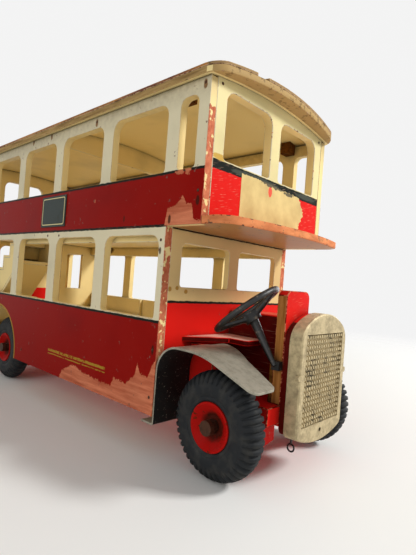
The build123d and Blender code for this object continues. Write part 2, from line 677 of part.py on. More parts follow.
def mudguard(side, edge, shorter):
    """Aluminium strip: foot flange, leg beside the chassis board, flat top and falling, narrowing nose."""
    leg_x = CAB_X + SHEET / 2
    top_z = CAB_FLOOR_Z - SHEET / 2
    foot_z = SKIRT_Z - MUDGUARD_DROP
    tip_x = FRONT_X + MUDGUARD_REACH
    path = FilletPolyline(
        (CAB_X - MUDGUARD_FOOT, foot_z), (leg_x, foot_z), (leg_x, top_z), (FRONT_X + MUDGUARD_FLAT, top_z),
        (tip_x, MUDGUARD_TIP_Z), radius=[SHEET, MUDGUARD_HEEL_RADIUS, MUDGUARD_NOSE_RADIUS])
    band = make_face(offset(path, amount=SHEET / 2, side=Side.BOTH))
    strip = board_xz(band, 0, HALF)
    heel_x = CAB_X - 2 * MUDGUARD_FOOT
    leg_y = CHASSIS_WIDTH / 2 + FIT
    plan = make_face(Polyline(
        (heel_x, edge), (tip_x - shorter, edge), (tip_x - shorter, GUARD_INNER_TIP),
        (FRONT_X + GUARD_MIDDLE_REACH, GUARD_INNER_MIDDLE), (FRONT_X + GUARD_REAR_REACH, GUARD_INNER_REAR),
        (leg_x + MUDGUARD_HEEL_RADIUS, GUARD_INNER_REAR),
        (leg_x + MUDGUARD_HEEL_RADIUS, leg_y), (heel_x, leg_y), close=True))
    plan = fillet(plan.vertices().group_by(Axis.X)[-1], min(MUDGUARD_CORNER, (edge - GUARD_INNER_TIP) / 3))
    one = strip & board_xy(plan, 0, EAVE_Z)
    return one if side > 0 else mirror(one, about=Plane.XZ)


def axle(axle_x):
    """Through rod with collars inside the wheels, hexagon nuts in the dished discs and round heads."""
    rod = Rot(90, 0, 0) * Cylinder(AXLE_RADIUS, 2 * HEAD_OUTER_Y)
    for side in (-1, 1):
        collar_mid = (HANGER_OUTER_Y + FIT + TYRE_INNER_Y - RUNNING_GAP) / 2
        collar_len = TYRE_INNER_Y - RUNNING_GAP - HANGER_OUTER_Y - FIT
        rod += Pos(0, side * collar_mid, 0) * Rot(90, 0, 0) * Cylinder(COLLAR_RADIUS, collar_len)
        nut_y = TYRE_OUTER_Y - DISC_DISH + RUNNING_GAP
        nut = extrude(RegularPolygon(NUT_RADIUS, 6), amount=NUT_LENGTH)
        nut = Rot(90, 0, 0) * nut
        nut_place = Pos(0, nut_y + NUT_LENGTH, 0) if side > 0 else Pos(0, -nut_y, 0)
        rod += nut_place * nut
        head_mid = HEAD_OUTER_Y - HEAD_LENGTH / 2
        rod += Pos(0, side * head_mid, 0) * Rot(90, 0, 0) * Cylinder(HEAD_RADIUS_AXLE, HEAD_LENGTH)
    return Pos(axle_x, 0, TYRE_RADIUS) * rod


def hangers(axle_x):
    """Two wooden blocks under the chassis board that carry one axle, their undersides slanted."""
    profile = make_face(Polyline(
        (HANGER_INNER_Y, CHASSIS_Z), (HANGER_OUTER_Y, CHASSIS_Z), (HANGER_OUTER_Y, HANGER_FOOT_Z),
        (HANGER_INNER_Y, HANGER_FOOT_Z + HANGER_SLANT), close=True))
    one = board_yz(profile, axle_x - HANGER_LENGTH / 2, axle_x + HANGER_LENGTH / 2)
    bore = Pos(axle_x, 0, TYRE_RADIUS) * Rot(90, 0, 0) * Cylinder(AXLE_RADIUS + FIT, WIDTH)
    one -= bore
    return Compound([one, mirror(one, about=Plane.XZ)])


def tyre():
    """Fat tyre with bevelled shoulders, made round the Y axis with its outer side at +Y."""
    half = TYRE_WIDTH / 2
    inner = TYRE_RADIUS - TYRE_SHOULDER
    face = make_face(Polyline(
        (DISC_RADIUS, -half), (inner, -half), (TYRE_RADIUS, -half + TYRE_SHOULDER),
        (TYRE_RADIUS, half - TYRE_SHOULDER), (inner, half), (DISC_RADIUS, half), close=True))
    return revolve(face, axis=Axis.Y)


def disc():
    """Dished pressed disc with a flat nave and a raised rim, bored for the axle."""
    half = TYRE_WIDTH / 2
    bore = AXLE_RADIUS + BORE_CLEARANCE
    dish_y = half - DISC_DISH
    face = make_face(Polyline(
        (bore, -half), (DISC_RADIUS, -half), (DISC_RADIUS, half), (DISC_RADIUS - DISC_PLATE, half),
        (NAVE_RADIUS, dish_y), (bore, dish_y), close=True))
    return revolve(face, axis=Axis.Y)


def place_wheel(piece, axle_x, side):
    middle_y = TYRE_OUTER_Y - TYRE_WIDTH / 2
    turned = piece if side > 0 else Rot(0, 0, 180) * piece
    return Pos(axle_x, side * middle_y, TYRE_RADIUS) * turned


def route_plate():
    front = FRONT_X - PLATE_BACK
    face = rect(front - PLATE_LENGTH, front, PLATE_Z, PLATE_Z + PLATE_HEIGHT)
    return board_xz(face, -HALF - PLATE_THICKNESS, -HALF)


def towing_eye():
    """Wire screw eye under the front of the chassis board."""
    eye_x = FRONT_X + EYE_REACH
    section = make_face(Plane.XZ * Pos(EYE_RADIUS, 0) * RegularPolygon(EYE_WIRE, RIM_SIDES))
    ring = Pos(eye_x, 0, CHASSIS_Z - EYE_STEM - EYE_RADIUS) * Rot(90, 0, 0) * revolve(section, axis=Axis.Z)
    stem = Pos(eye_x, 0, CHASSIS_Z - EYE_STEM / 2) * Cylinder(EYE_WIRE, EYE_STEM)
    return ring + stem


def build_parts():
    """Every node of the bus by name."""
    stair_inner_y = -INSIDE + STAIR_WIDTH
    parts = {
        "upper_side_offside": board_xz(upper_side(), -HALF, -HALF + SIDE_BOARD),
        "upper_side_nearside": board_xz(upper_side(), HALF - SIDE_BOARD, HALF),
        "lower_side_offside": board_xz(lower_side(), -HALF, -HALF + SIDE_BOARD),
        "lower_side_nearside": board_xz(lower_side() - entrance(), HALF - SIDE_BOARD, HALF),
        "roof": roof_layer(0, ROOF_PLY),
        "roof_skin": roof_skin(),
        "upper_floor": upper_floor(),
        "upper_front_wall": upper_front_wall(),
        "upper_rear_wall": upper_rear_wall(),
        "lower_rear_wall": lower_rear_wall(),
        "cab_back_wall": cab_back_wall(),
        "saloon_bulkhead": saloon_bulkhead(),
        "saloon_floor": saloon_floor(),
        "chassis_board": chassis_board(),
        "stair_steps": stair_steps(),
        "stair_stringer_outer": stringer(-INSIDE),
        "stair_stringer_inner": stringer(stair_inner_y - STRINGER_PLY),
        "stair_soffit": stair_soffit(),
        "bench_nearside": bench(1, BULKHEAD_X),
        "bench_offside": bench(-1, STAIR_HEAD_X),
        "batten_nearside": batten(1),
        "batten_offside": batten(-1),
        "roof_former": roof_former(),
        "roof_cleats": roof_cleats(),
        "bonnet": bonnet(),
        "dash": dash(),
        "cab_floor": cab_floor(),
        "cab_panel": cab_panel(),
        "toe_board": toe_board(),
        "radiator": radiator(),
        "radiator_backing": radiator_backing(),
        "steering_column": steering_column(),
        "steering_wheel": steering_wheel(),
        "mudguard_offside": mudguard(-1, OFFSIDE_GUARD_EDGE, 0),
        "mudguard_nearside": mudguard(1, NEARSIDE_GUARD_EDGE, NEARSIDE_GUARD_SHORT),
        "route_plate": route_plate(),
        "towing_eye": towing_eye(),
    }
    for end, axle_x in (("front", FRONT_AXLE_X), ("rear", REAR_AXLE_X)):
        parts[f"{end}_axle"] = axle(axle_x)
        parts[f"{end}_hangers"] = hangers(axle_x)
        for name, side in (("offside", -1), ("nearside", 1)):
            parts[f"tyre_{end}_{name}"] = place_wheel(tyre(), axle_x, side)
            parts[f"disc_{end}_{name}"] = place_wheel(disc(), axle_x, side)
    return parts


def main():
    os.makedirs("parts", exist_ok=True)
    for name, shape in build_parts().items():
        export_step(shape, f"parts/{name}.step")


main()
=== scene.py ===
# %% [markdown]
# # A painted wooden toy double decker bus
#
# The real toy is a plywood body on a wooden chassis board, brush painted in red and cream enamel, with
# a cast radiator, sheet aluminium mudguards and four rubber tyres. It has been played with for decades:
# the paint is chipped to pink-stained wood along the edges. The solids come ready made from CAD, so
# this lesson eases their edges, paints them, and models what CAD leaves plain.

# %% Load the frame
import math
import random

import bmesh
import bpy
from mathutils import Matrix, Vector


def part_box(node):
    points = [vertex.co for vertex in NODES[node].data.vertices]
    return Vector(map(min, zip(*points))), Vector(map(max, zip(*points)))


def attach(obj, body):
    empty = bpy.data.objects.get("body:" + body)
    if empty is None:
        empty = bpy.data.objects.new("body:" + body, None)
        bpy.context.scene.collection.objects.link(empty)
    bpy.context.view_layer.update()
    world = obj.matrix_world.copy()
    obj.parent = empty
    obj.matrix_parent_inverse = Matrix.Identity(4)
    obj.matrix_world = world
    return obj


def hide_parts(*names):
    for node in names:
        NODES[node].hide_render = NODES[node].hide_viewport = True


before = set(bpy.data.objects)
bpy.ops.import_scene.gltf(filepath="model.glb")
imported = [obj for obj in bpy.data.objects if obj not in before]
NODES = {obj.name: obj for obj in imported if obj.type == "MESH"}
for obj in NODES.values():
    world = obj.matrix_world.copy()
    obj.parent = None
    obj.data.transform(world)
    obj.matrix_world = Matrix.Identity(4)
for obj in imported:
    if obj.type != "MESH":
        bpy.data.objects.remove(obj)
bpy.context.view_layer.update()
MM = 0.001
print("nodes:", len(NODES))

# %% [markdown]
# Blender works in linear light, while paint is easiest to name as an sRGB hex value. One function
# turns one into the other, and one adds a shader or geometry node with its settings and links. Four
# short ones give the nodes that every material here uses most.


# %% Colours and nodes
def srgb(code):
    """Linear colour of an sRGB hex value."""
    parts = [int(code[i:i + 2], 16) / 255 for i in (1, 3, 5)]
    return tuple(p / 12.92 if p <= 0.04045 else ((p + 0.055) / 1.055) ** 2.4 for p in parts) + (1.0,)


def add(tree, kind, values=None, **settings):
    """Adds one node. values maps a socket to a plain value, another node or another node's output."""
    node = tree.nodes.new(kind)
    for key, value in settings.items():
        setattr(node, key, value)
    for socket, value in (values or {}).items():
        target = node.inputs[socket]
        if isinstance(value, bpy.types.Node):
            value = value.outputs[0]
        if isinstance(value, bpy.types.NodeSocket):
            tree.links.new(value, target)
        else:
            target.default_value = value
    return node


def calc(tree, operation, *values, **settings):
    """Math node on up to three plain values, nodes or outputs."""
    return add(tree, "ShaderNodeMath", dict(enumerate(values)), operation=operation, **settings)


def remap(tree, value, low, high, to_low=0.0, to_high=1.0, **settings):
    """Map Range node: low to high becomes to_low to to_high, held level on either side."""
    return add(tree, "ShaderNodeMapRange", {"Value": value, "From Min": low, "From Max": high,
                                            "To Min": to_low, "To Max": to_high}, **settings)


def mix(tree, share, first, second, **settings):
    """Mix node: the first colour where share is 0, the second where it is 1."""
    return add(tree, "ShaderNodeMixRGB", {"Fac": share, "Color1": first, "Color2": second}, **settings)


def noise(tree, place, scale, detail, roughness=0.5):
    """Noise with scale waves to the metre. detail adds finer waves, and roughness is their strength."""
    return add(tree, "ShaderNodeTexNoise", {"Vector": place, "Scale": scale, "Detail": detail,
                                            "Roughness": roughness})


def new_material(name):
    """An empty material, with its tree and the object coordinates that every pattern here reads."""
    material = bpy.data.materials.new(name)
    material.use_nodes = True
    tree = material.node_tree
    tree.nodes.clear()
    return material, tree, add(tree, "ShaderNodeTexCoord").outputs["Object"]


def close(tree, **sockets):
    """Ends a material with one Principled shader."""
    names = {key.replace("_", " ").title().replace("Ior", "IOR"): value for key, value in sockets.items()}
    shader = add(tree, "ShaderNodeBsdfPrincipled", names)
    add(tree, "ShaderNodeOutputMaterial", {"Surface": shader})


print("half grey in linear light:", round(srgb("#808080")[0], 3))


# %% [markdown]
# ## Places on the bus
#
# A few places are read from the CAD nodes, so the paint lines and the small pieces sit on the boards
# whatever their size.

# %% Read the places
SIDE_LOW, SIDE_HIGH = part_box("upper_side_offside")
LOWER_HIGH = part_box("lower_side_offside")[1]
FRONT_X = SIDE_HIGH.x
FRONT_MM = FRONT_X / MM
CAB_X = LOWER_HIGH.x
REAR_X = SIDE_LOW.x
BODY_HALF = -SIDE_LOW.y
FLOOR_UNDER = SIDE_LOW.z
WHEEL_LOW, WHEEL_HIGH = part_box("tyre_rear_offside")
REAR_AXLE = (WHEEL_LOW + WHEEL_HIGH) / 2
SIGHT = 0.3 * MM  # a face's own colour starts this far inside it
print("front wall at", round(FRONT_X, 4), "half width", round(BODY_HALF, 4))

# %% [markdown]
# ## Brushed enamel on plywood
#
# Enamel is a glossy oil paint: brushed by hand it dries with faint brush marks, so its roughness is
# about a third and its edges wander by a fraction of a millimetre. Where it chips, the wood below is
# stained pink by the red primer. The function lays the colours by height as the painter masked them,
# then adds what time did: ragged bare areas, chips, rust from nails, and grime in the corners, which
# also carries painted shade there.

# %% Enamel colours
SHINE = 0.035  # specular level of enamel dulled by years
# One red enamel in two copies: this one has the light on the sunlit front painted in, and the one after it
# has the shade on the sides painted in.
RED = srgb("#e8211a")
SHADED_SIDE_RED = srgb("#940e06")
DEEP_RED = srgb("#7a120c")
# A red painted dark as shade on faces turned from the light: the offside faces of the bonnet and radiator
# backing, and the cab floor's sides.
PAINTED_SHADE_MAROON = srgb("#5c0f0b")
# One cream enamel in two copies: the one after this is painted greyer, as the shade on the sides.
CREAM = srgb("#f1e3a8")
SHADED_SIDE_CREAM = srgb("#e9debb")
# The inside cream, painted brighter and warmer than the paint for the sunlight falling in through the
# windows.
INNER_CREAM_WITH_SUN = srgb("#fee5a2")
# The cab wall's cream, painted warmer and more orange as the warm light bounced under the canopy.
CAB_CREAM_WITH_BOUNCE = srgb("#e8c98c")
# Tan for the canopy's underside: its cream with the shade under the canopy painted in.
SHADED_UNDERSIDE_TAN = srgb("#b5814c")
BLACK = srgb("#1d211c")
GOLD = srgb("#b08a2e")
BARE_PALE = srgb("#da8460")
BARE_DEEP = srgb("#b45c40")
SALMON_DEEP = srgb("#c8754a")
SALMON_PALE = srgb("#f09a64")
PALE_PINK = srgb("#eabfa0")
BROWN_DEEP = srgb("#4a2b0d")
BROWN_PALE = srgb("#7d4d1c")
PLY_DEEP = srgb("#6a3f3a")
PLY_PALE = srgb("#c08548")
# Dark brown for grime, also laid into the corners as painted shade.
GRIME_AND_SHADE = srgb("#2e2117")
RUST = srgb("#35190e")
RUST_PALE = srgb("#7a4a14")
PURPLE = srgb("#7c5148")

# %% Pattern sizes, in waves to the metre
BRUSH_WAVES = 260.0  # 4 mm: the brush's wandering edge
COAT_WAVES = 22.0  # 45 mm: where the coat lies thick or thin
CHIP_WAVES = 420.0  # 2.4 mm: one chip
FLECK_WAVES = 190.0  # 5 mm: one fleck of dirt, ragged at its edge
SIDE_GRAIN = (30.0, 420.0, 300.0)  # streaks 33 mm long along x, 2 to 3 mm across
SCRATCH = (0.02, 0.007, 0.0006)  # metres: 7 mm long across the bus, 20 mm along it, 0.6 mm wide
SCRATCH_SLOPE = math.radians(12)
print("one chip is about", round(1 / CHIP_WAVES / MM, 1), "mm across")

# %% [markdown]
# Every pattern is placed by object coordinates in metres. A painted line has a height, a bare area
# has a profile of heights, and a spot is an ellipse; noise then breaks their edges.

# %% Places for paint and wear
EDGE_BLUR = 0.15  # mm over which one colour gives way to the next
CURVE_TOP = 200  # mm that a float curve's full height stands for


def height_profile(tree, along, table):
    """Height over the bus's length as a curve through a table of (x, z) in mm from the front wall."""
    first, last = table[0][0], table[-1][0]
    curve = add(tree, "ShaderNodeFloatCurve", {
        "Value": remap(tree, along, FRONT_X + first * MM, FRONT_X + last * MM)})
    points = curve.mapping.curves[0].points
    for _ in table[1:-1]:
        points.new(0.5, 0.5)
    for point, (x, z) in zip(points, table):
        point.location = ((x - first) / (last - first), z / CURVE_TOP)
        point.handle_type = "VECTOR"
    curve.mapping.update()
    return calc(tree, "MULTIPLY", curve, CURVE_TOP * MM)


def blot(tree, axes, spot):
    """1 at the middle of an elliptical spot, 0 at its edge. spot is centre and radius along two axes, mm."""
    shares = []
    for axis, centre, radius in zip(axes, spot[:2], spot[2:]):
        shift = calc(tree, "SUBTRACT", axis, centre * MM)
        share = calc(tree, "DIVIDE", shift, radius * MM)
        shares.append(calc(tree, "POWER", share, 2.0))
    return calc(tree, "SUBTRACT", 1.0, calc(tree, "ADD", *shares))


def layers(tree, height, zones):
    """Colour by height. zones is [(height in mm, colour)], lowest first."""
    colour = add(tree, "ShaderNodeRGB")
    colour.outputs[0].default_value = zones[0][1]
    for level, paint in zones[1:]:
        above = remap(tree, height, (level - EDGE_BLUR) * MM, (level + EDGE_BLUR) * MM)
        colour = mix(tree, above, colour, paint)
    return colour


def past(tree, axes, axis, limit, sign):
    """1 past a limit in metres along one axis, on the side of it that sign names."""
    return calc(tree, "GREATER_THAN" if sign > 0 else "LESS_THAN", axes[axis], limit)


# %% Enamel
def enamel(name, zones, outer=None, inner=((0, INNER_CREAM_WITH_SUN),), ragged=(), spots=(), stains=(), bare=(),
           bars=(), ring=None, chips=0.30, across=0, gloss=0.36, raw=(), raw_above=-1, darken_above=None,
           scratched=0.0, flecks=None, grain_scale=SIDE_GRAIN, wood_tones=(BARE_DEEP, BARE_PALE)):
    """Painted plywood.

    zones is [(height in mm, colour)], lowest first, on the outer faces. outer is (axis, limit, sign) in
    metres and picks those faces; inner is the zones of the others. bars are lines, (x0, x1, z0, z1,
    colour) in mm, and ring is (x, z, radius, half width, colour) in metres. gloss is sound paint's
    roughness.

    chips is the share lost to small chips. ragged holds height profiles below which paint is gone, and
    spots are (along, up, radius, radius) in mm, along the axis across. bare is (axis, limit, sign, top
    in mm), where most paint is gone below that top; raw is faces never painted, above raw_above in mm.
    The wood there has its grain's waves along x, y and z, and two tones.

    stains are rust, placed like spots, and may end with their own colour. The darkening above is (low,
    high, share) in mm: a mottled brown that grows with height. scratched is the strength of sloping
    scratches. flecks is (colour, noise level) of small marks over paint and wood alike, on the outer faces.
    """
    material, tree, place = new_material(name)
    axes = list(add(tree, "ShaderNodeSeparateXYZ", {0: place}).outputs)
    plane = (axes[across], axes[2])
    fine = noise(tree, place, BRUSH_WAVES, 4.0)
    broad = noise(tree, place, COAT_WAVES, 3.0)
    jag = noise(tree, place, CHIP_WAVES, 6.0, 0.7)
    stretch = add(tree, "ShaderNodeMapping", {"Vector": place, "Scale": grain_scale})
    grain = noise(tree, stretch, 1.0, 5.0, 0.65)

    # Masked colours whose edges wander by 0.55 mm either way, and the painted lines.
    wander = calc(tree, "MULTIPLY_ADD", fine, 1.1 * MM, axes[2])
    wander = calc(tree, "SUBTRACT", wander, 0.55 * MM)
    colour = layers(tree, wander, zones)
    for x0, x1, z0, z1, paint in bars:
        wide = calc(tree, "COMPARE", axes[0], (x0 + x1) / 2 * MM, (x1 - x0) / 2 * MM)
        tall = calc(tree, "COMPARE", wander, (z0 + z1) / 2 * MM, (z1 - z0) / 2 * MM)
        both = calc(tree, "MULTIPLY", wide, tall)
        both = calc(tree, "MULTIPLY", both, remap(tree, jag, 0.40, 0.47))
        colour = mix(tree, both, colour, paint)
    if ring:
        centre_x, centre_z, radius, half_width, paint = ring
        spoke = add(tree, "ShaderNodeCombineXYZ", {0: axes[0], 2: axes[2]})
        reach = add(tree, "ShaderNodeVectorMath", {0: spoke, 1: (centre_x, 0, centre_z)},
                    operation="DISTANCE")
        band = calc(tree, "COMPARE", reach.outputs["Value"], radius, half_width)
        colour = mix(tree, band, colour, paint)
    shown = None
    if outer:
        shown = past(tree, axes, *outer)
        colour = mix(tree, shown, layers(tree, wander, inner), colour)

    # The coat's thick and thin places, a mottled darkening towards the top, and scratches.
    tone = remap(tree, broad, 0.3, 0.7, 0.80, 1.06)
    colour = mix(tree, 1.0, colour, tone, blend_type="MULTIPLY")
    if darken_above:
        low, high, share = darken_above
        haze = remap(tree, axes[2], low * MM, high * MM, 0.0, share)
        colour = mix(tree, calc(tree, "MULTIPLY", haze, fine), colour, BROWN_DEEP)
    if scratched:
        slope = add(tree, "ShaderNodeMapping", {"Vector": place, "Rotation": (SCRATCH_SLOPE, 0, 0),
                                                "Scale": SCRATCH}, vector_type="TEXTURE")
        lines = noise(tree, slope, 1.0, 3.0)
        colour = mix(tree, remap(tree, lines, 0.60, 0.74, 0.0, scratched), colour, PALE_PINK)

    # Lost paint: chips, ragged areas torn by 7 mm, spots, nearly bare faces and raw ones.
    lost = remap(tree, jag, 1.0 - chips, 1.02 - chips)
    for table in ragged:
        top = height_profile(tree, axes[across], table)
        edge = calc(tree, "MULTIPLY_ADD", jag, 7.0 * MM, top)
        under = calc(tree, "SUBTRACT", edge, axes[2])
        under = remap(tree, under, 3.4 * MM, 3.7 * MM)
        if shown:
            under = calc(tree, "MULTIPLY", under, shown)
        lost = calc(tree, "MAXIMUM", lost, under)
    for spot in spots:
        mark = calc(tree, "MULTIPLY_ADD", jag, 3.0, blot(tree, plane, spot))
        lost = calc(tree, "MAXIMUM", lost, remap(tree, mark, 1.85, 1.93))
    for axis, limit, sign, top in bare:
        face = past(tree, axes, axis, limit, sign)
        below = calc(tree, "MULTIPLY_ADD", jag, 8.0 * MM, axes[2])
        below = calc(tree, "LESS_THAN", below, (top + 4) * MM)
        face = calc(tree, "MULTIPLY", face, below)
        gone = calc(tree, "MULTIPLY", face, remap(tree, fine, 0.39, 0.43))
        lost = calc(tree, "MAXIMUM", lost, gone)
    for limits in raw:
        face = past(tree, axes, *limits)
        high = calc(tree, "GREATER_THAN", axes[2], raw_above * MM)
        lost = calc(tree, "MAXIMUM", lost, calc(tree, "MULTIPLY", face, high))
    wood = mix(tree, remap(tree, grain, 0.35, 0.65), *wood_tones)
    colour = mix(tree, lost, colour, wood)

    # Marks over paint and wood: flecks and stains. Within 7 mm of a corner, ambient occlusion darkens
    # the colour: grime and painted shade together.
    if flecks:
        paint, level = flecks
        apart = add(tree, "ShaderNodeMapping", {"Vector": place, "Location": (0.7, 0.3, 0.1)})
        spread = noise(tree, apart, FLECK_WAVES, 5.0, 0.65)
        spread = remap(tree, spread, level, level + 0.03, 0.0, 0.9)
        if shown:
            spread = calc(tree, "MULTIPLY", spread, shown)
        colour = mix(tree, spread, colour, paint)
    for stain in stains:
        mark = calc(tree, "ADD", blot(tree, plane, stain[:4]), fine)
        mark = remap(tree, mark, 0.55, 1.0, 0.0, 0.85)
        colour = mix(tree, mark, colour, stain[4] if len(stain) > 4 else RUST)
    corner = add(tree, "ShaderNodeAmbientOcclusion", {"Distance": 7 * MM}, samples=4)
    corner = remap(tree, corner.outputs["AO"], 0.35, 0.85, 0.55, 0.0)
    smear = remap(tree, broad, 0.5, 0.75, 0.0, 0.16)
    colour = mix(tree, calc(tree, "MAXIMUM", corner, smear), colour, GRIME_AND_SHADE)

    # Bare wood is rough and lies a coat of paint lower.
    rough = remap(tree, lost, 0.0, 1.0, gloss, 0.72)
    rough = calc(tree, "MULTIPLY_ADD", broad, 0.18, rough)
    rough = calc(tree, "SUBTRACT", rough, 0.09)
    height = calc(tree, "MULTIPLY_ADD", lost, -0.8, grain)
    bump = add(tree, "ShaderNodeBump", {"Height": height, "Strength": 0.55, "Distance": 0.25 * MM})
    close(tree, base_color=colour, roughness=rough, specular_ior_level=SHINE, normal=bump)
    return material


# %% [markdown]
# ## Easing the edges
#
# No painted board keeps a razor edge: it was sanded before painting, and play rubbed it bare. The CAD
# mesh is loose triangles, so each board gets three modifiers: Weld joins them, a planar Decimate makes
# each flat face one face again, and Bevel rounds the edges and gives the new strips their own worn
# material. The mesh itself isn't changed.


# %% Ease the edges of a board
def dress(names, material, edge=None, width=0.6):
    """Gives CAD nodes a material, and where edge is given, eased edges in that second material."""
    for name in names:
        node = NODES[name]
        node.data.materials.clear()
        node.data.materials.append(material)
        if edge is None:
            continue
        node.data.materials.append(edge)
        node.modifiers.new("join", "WELD").merge_threshold = 0.002 * MM
        flat = node.modifiers.new("flat", "DECIMATE")
        flat.decimate_type = "DISSOLVE"
        flat.angle_limit = math.radians(1.0)
        bevel = node.modifiers.new("ease", "BEVEL")
        bevel.width = width * MM
        bevel.segments = 2
        bevel.limit_method = "ANGLE"
        bevel.angle_limit = math.radians(40)
        bevel.material = 1
        bevel.use_clamp_overlap = True


# %% [markdown]
# ## The body's paint
#
# Red below, cream round the windows, and a black line where they meet. The upper panel's heights are
# read from its board, and the other heights are given. The offside has lost its paint along the bottom
# behind the mudguard and at the lower front corner of the upper panel, so those two profiles are given
# as short tables.

# %% Paint lines and worn places of the sides
# The sides take the red and cream copies that have shade painted in.
UPPER_FOOT = SIDE_LOW.z / MM
UPPER_ZONES = [(0, BLACK), (UPPER_FOOT + 0.9, SHADED_SIDE_RED), (UPPER_FOOT + 32.6, BLACK),
               (UPPER_FOOT + 34.3, SHADED_SIDE_CREAM)]
LOWER_ZONES = [(0, SHADED_SIDE_RED), (87.2, BLACK), (88.9, SHADED_SIDE_CREAM), (148.2, BLACK)]
BARE_CORNER = [(-60, 140), (-33, 143), (-30, 160), (-27, 160), (-22, 161.5), (-16.7, 167), (-13, 161.5),
               (-8.4, 161), (-6.7, 153), (0, 150.5)]
BARE_SKIRT = [(-170, 20), (-150, 26), (-143, 36), (-128, 43), (-112, 40), (-95, 38.6), (-76, 38), (-73, 44.6),
              (-59, 43), (-50, 51), (-48, 59), (-45, 53.7), (-37, 51.6), (-33, 60.6), (-28, 66)]
RIM = (REAR_AXLE.x, REAR_AXLE.z, 45.0 * MM, 0.8 * MM, GOLD)
BARS = [(FRONT_MM - 169, FRONT_MM - 84, low, high, GOLD) for low, high in ((47.4, 49.4), (45.2, 46.0))]
UPPER_SPOTS = [(FRONT_MM - 114.1, 170.8, 1.5, 2.0), (FRONT_MM - 21.1, 181.7, 5.0, 2.2),
               (FRONT_MM - 14.0, 181.5, 4.0, 2.6)]
NEARSIDE_SPOTS = [(FRONT_MM - 40, 34, 14, 6), (FRONT_MM - 330, 31, 20, 5)]
OFFSIDE_NAILS = [(-228.4, 235.9), (-192.9, 235.2), (-120.2, 232.9), (-4.5, 233.1), (-185.7, 145.6),
                 (-165.9, 145.3), (-4.3, 169.0)]
print("upper panel from", round(UPPER_FOOT, 1), "mm, cream from", round(UPPER_ZONES[-1][0], 1))

# %% Paint the sides
edge_cream = enamel("worn_cream_edge", [(0, SHADED_SIDE_CREAM)], chips=0.40, flecks=(PURPLE, 0.60))
edge_red = enamel("worn_red_edge", [(0, DEEP_RED)], chips=0.50)
upper_edge = enamel("worn_upper_edge", UPPER_ZONES, chips=0.47, flecks=(PURPLE, 0.56))
lower_edge = enamel("worn_lower_edge", LOWER_ZONES, chips=0.47, flecks=(PURPLE, 0.56))
for side, sign in (("offside", -1), ("nearside", 1)):
    face = (1, sign * (BODY_HALF - SIGHT), sign)
    hurt = sign < 0
    rust = [(FRONT_MM - 4, 163, 1.8, 3.5)]
    if hurt:
        rust += [(FRONT_MM + x, z - 0.8, 1.9, 3.4, RUST_PALE) for x, z in OFFSIDE_NAILS[:4]]
        rust += [(FRONT_MM - 75.1, 155.2, 1.0, 2.6), (FRONT_MM - 27.5, 153.0, 1.5, 3.4)]
    upper = enamel(f"upper_side_enamel_{side}", UPPER_ZONES, face, ragged=[BARE_CORNER] if hurt else [],
                   spots=UPPER_SPOTS if hurt else [], stains=rust,
                   bare=[(0, FRONT_X - SIGHT, 1, 219)] if hurt else [], chips=0.26,
                   darken_above=(220, 240, 0.75), flecks=(PURPLE, 0.655))
    lower = enamel(f"lower_side_enamel_{side}", LOWER_ZONES, face, ragged=[BARE_SKIRT] if hurt else [],
                   spots=[] if hurt else NEARSIDE_SPOTS,
                   stains=[(FRONT_MM - 34, 70, 1.4, 4.0), (FRONT_MM - 34, 133, 1.2, 2.6)],
                   bare=[(0, CAB_X - SIGHT, 1, 160)], bars=BARS if hurt else [], ring=RIM, chips=0.26,
                   flecks=(PURPLE, 0.655))
    dress([f"upper_side_{side}"], upper, upper_edge, 1.2)
    dress([f"lower_side_{side}"], lower, lower_edge, 1.2)
    print(side, "rust marks:", len(rust))

# %% Paint the walls across the bus
OCHRE = srgb("#c79b34")
SLATE = srgb("#4b5046")
DOT_BROWN = srgb("#b07d2c")
FRONT_ZONES = [(0, RED), (183.7, BLACK), (189.4, CREAM)]
FRONT_STAINS = [(-58, 191.2, 8, 2.2, OCHRE), (-20, 186.5, 30, 2.6, SLATE), (45, 187.0, 16, 2.2, SLATE)]
# The cab wall's cream band is the copy with bounced light painted in.
CAB_ZONES = [(0, RED), (100.2, BLACK), (101.8, CAB_CREAM_WITH_BOUNCE), (147.9, GRIME_AND_SHADE)]
CAB_DOTS = [(y, z, 1.9, 1.7, DOT_BROWN) for y, z in ((-62.8, 109.3), (-56.5, 110.1), (-48.2, 108.1))]
dress(["upper_front_wall"], enamel("front_wall_enamel", FRONT_ZONES, (0, FRONT_X - SIGHT, 1), across=1,
                                   stains=FRONT_STAINS, chips=0.25, scratched=0.42), edge_cream)
dress(["cab_back_wall"], enamel("cab_wall_enamel", CAB_ZONES, (0, CAB_X - SIGHT, 1), across=1, chips=0.24,
                                stains=CAB_DOTS, flecks=(PURPLE, 0.67)), edge_cream)
dress(["upper_rear_wall"], enamel("upper_rear_enamel", UPPER_ZONES, (0, REAR_X + SIGHT, -1), across=1,
                                  spots=[(-55, 152, 14, 5)]), upper_edge)
dress(["lower_rear_wall"], enamel("lower_rear_enamel", LOWER_ZONES, (0, REAR_X + SIGHT, -1), across=1,
                                  inner=[(0, RED), (90, INNER_CREAM_WITH_SUN)],
                                  spots=[(40, 47, 20, 5), (-52, 48, 10, 8)]), lower_edge)

# The inside pieces' cream has that sunlight painted in.
inside_cream = enamel("inside_cream_enamel", [(0, INNER_CREAM_WITH_SUN)], chips=0.24, gloss=0.45)
dress(["saloon_bulkhead", "stair_steps", "stair_stringer_outer", "stair_stringer_inner", "stair_soffit",
       "bench_nearside", "bench_offside", "batten_offside", "roof_former", "saloon_floor"],
      inside_cream, edge_cream, 0.4)
dress(["batten_nearside"], enamel("marked_cream_enamel", [(0, INNER_CREAM_WITH_SUN)], chips=0.24, gloss=0.45,
                                  stains=[(-97.5, 145.5, 14, 6)]), edge_cream, 0.4)
print("body materials:", len(bpy.data.materials))

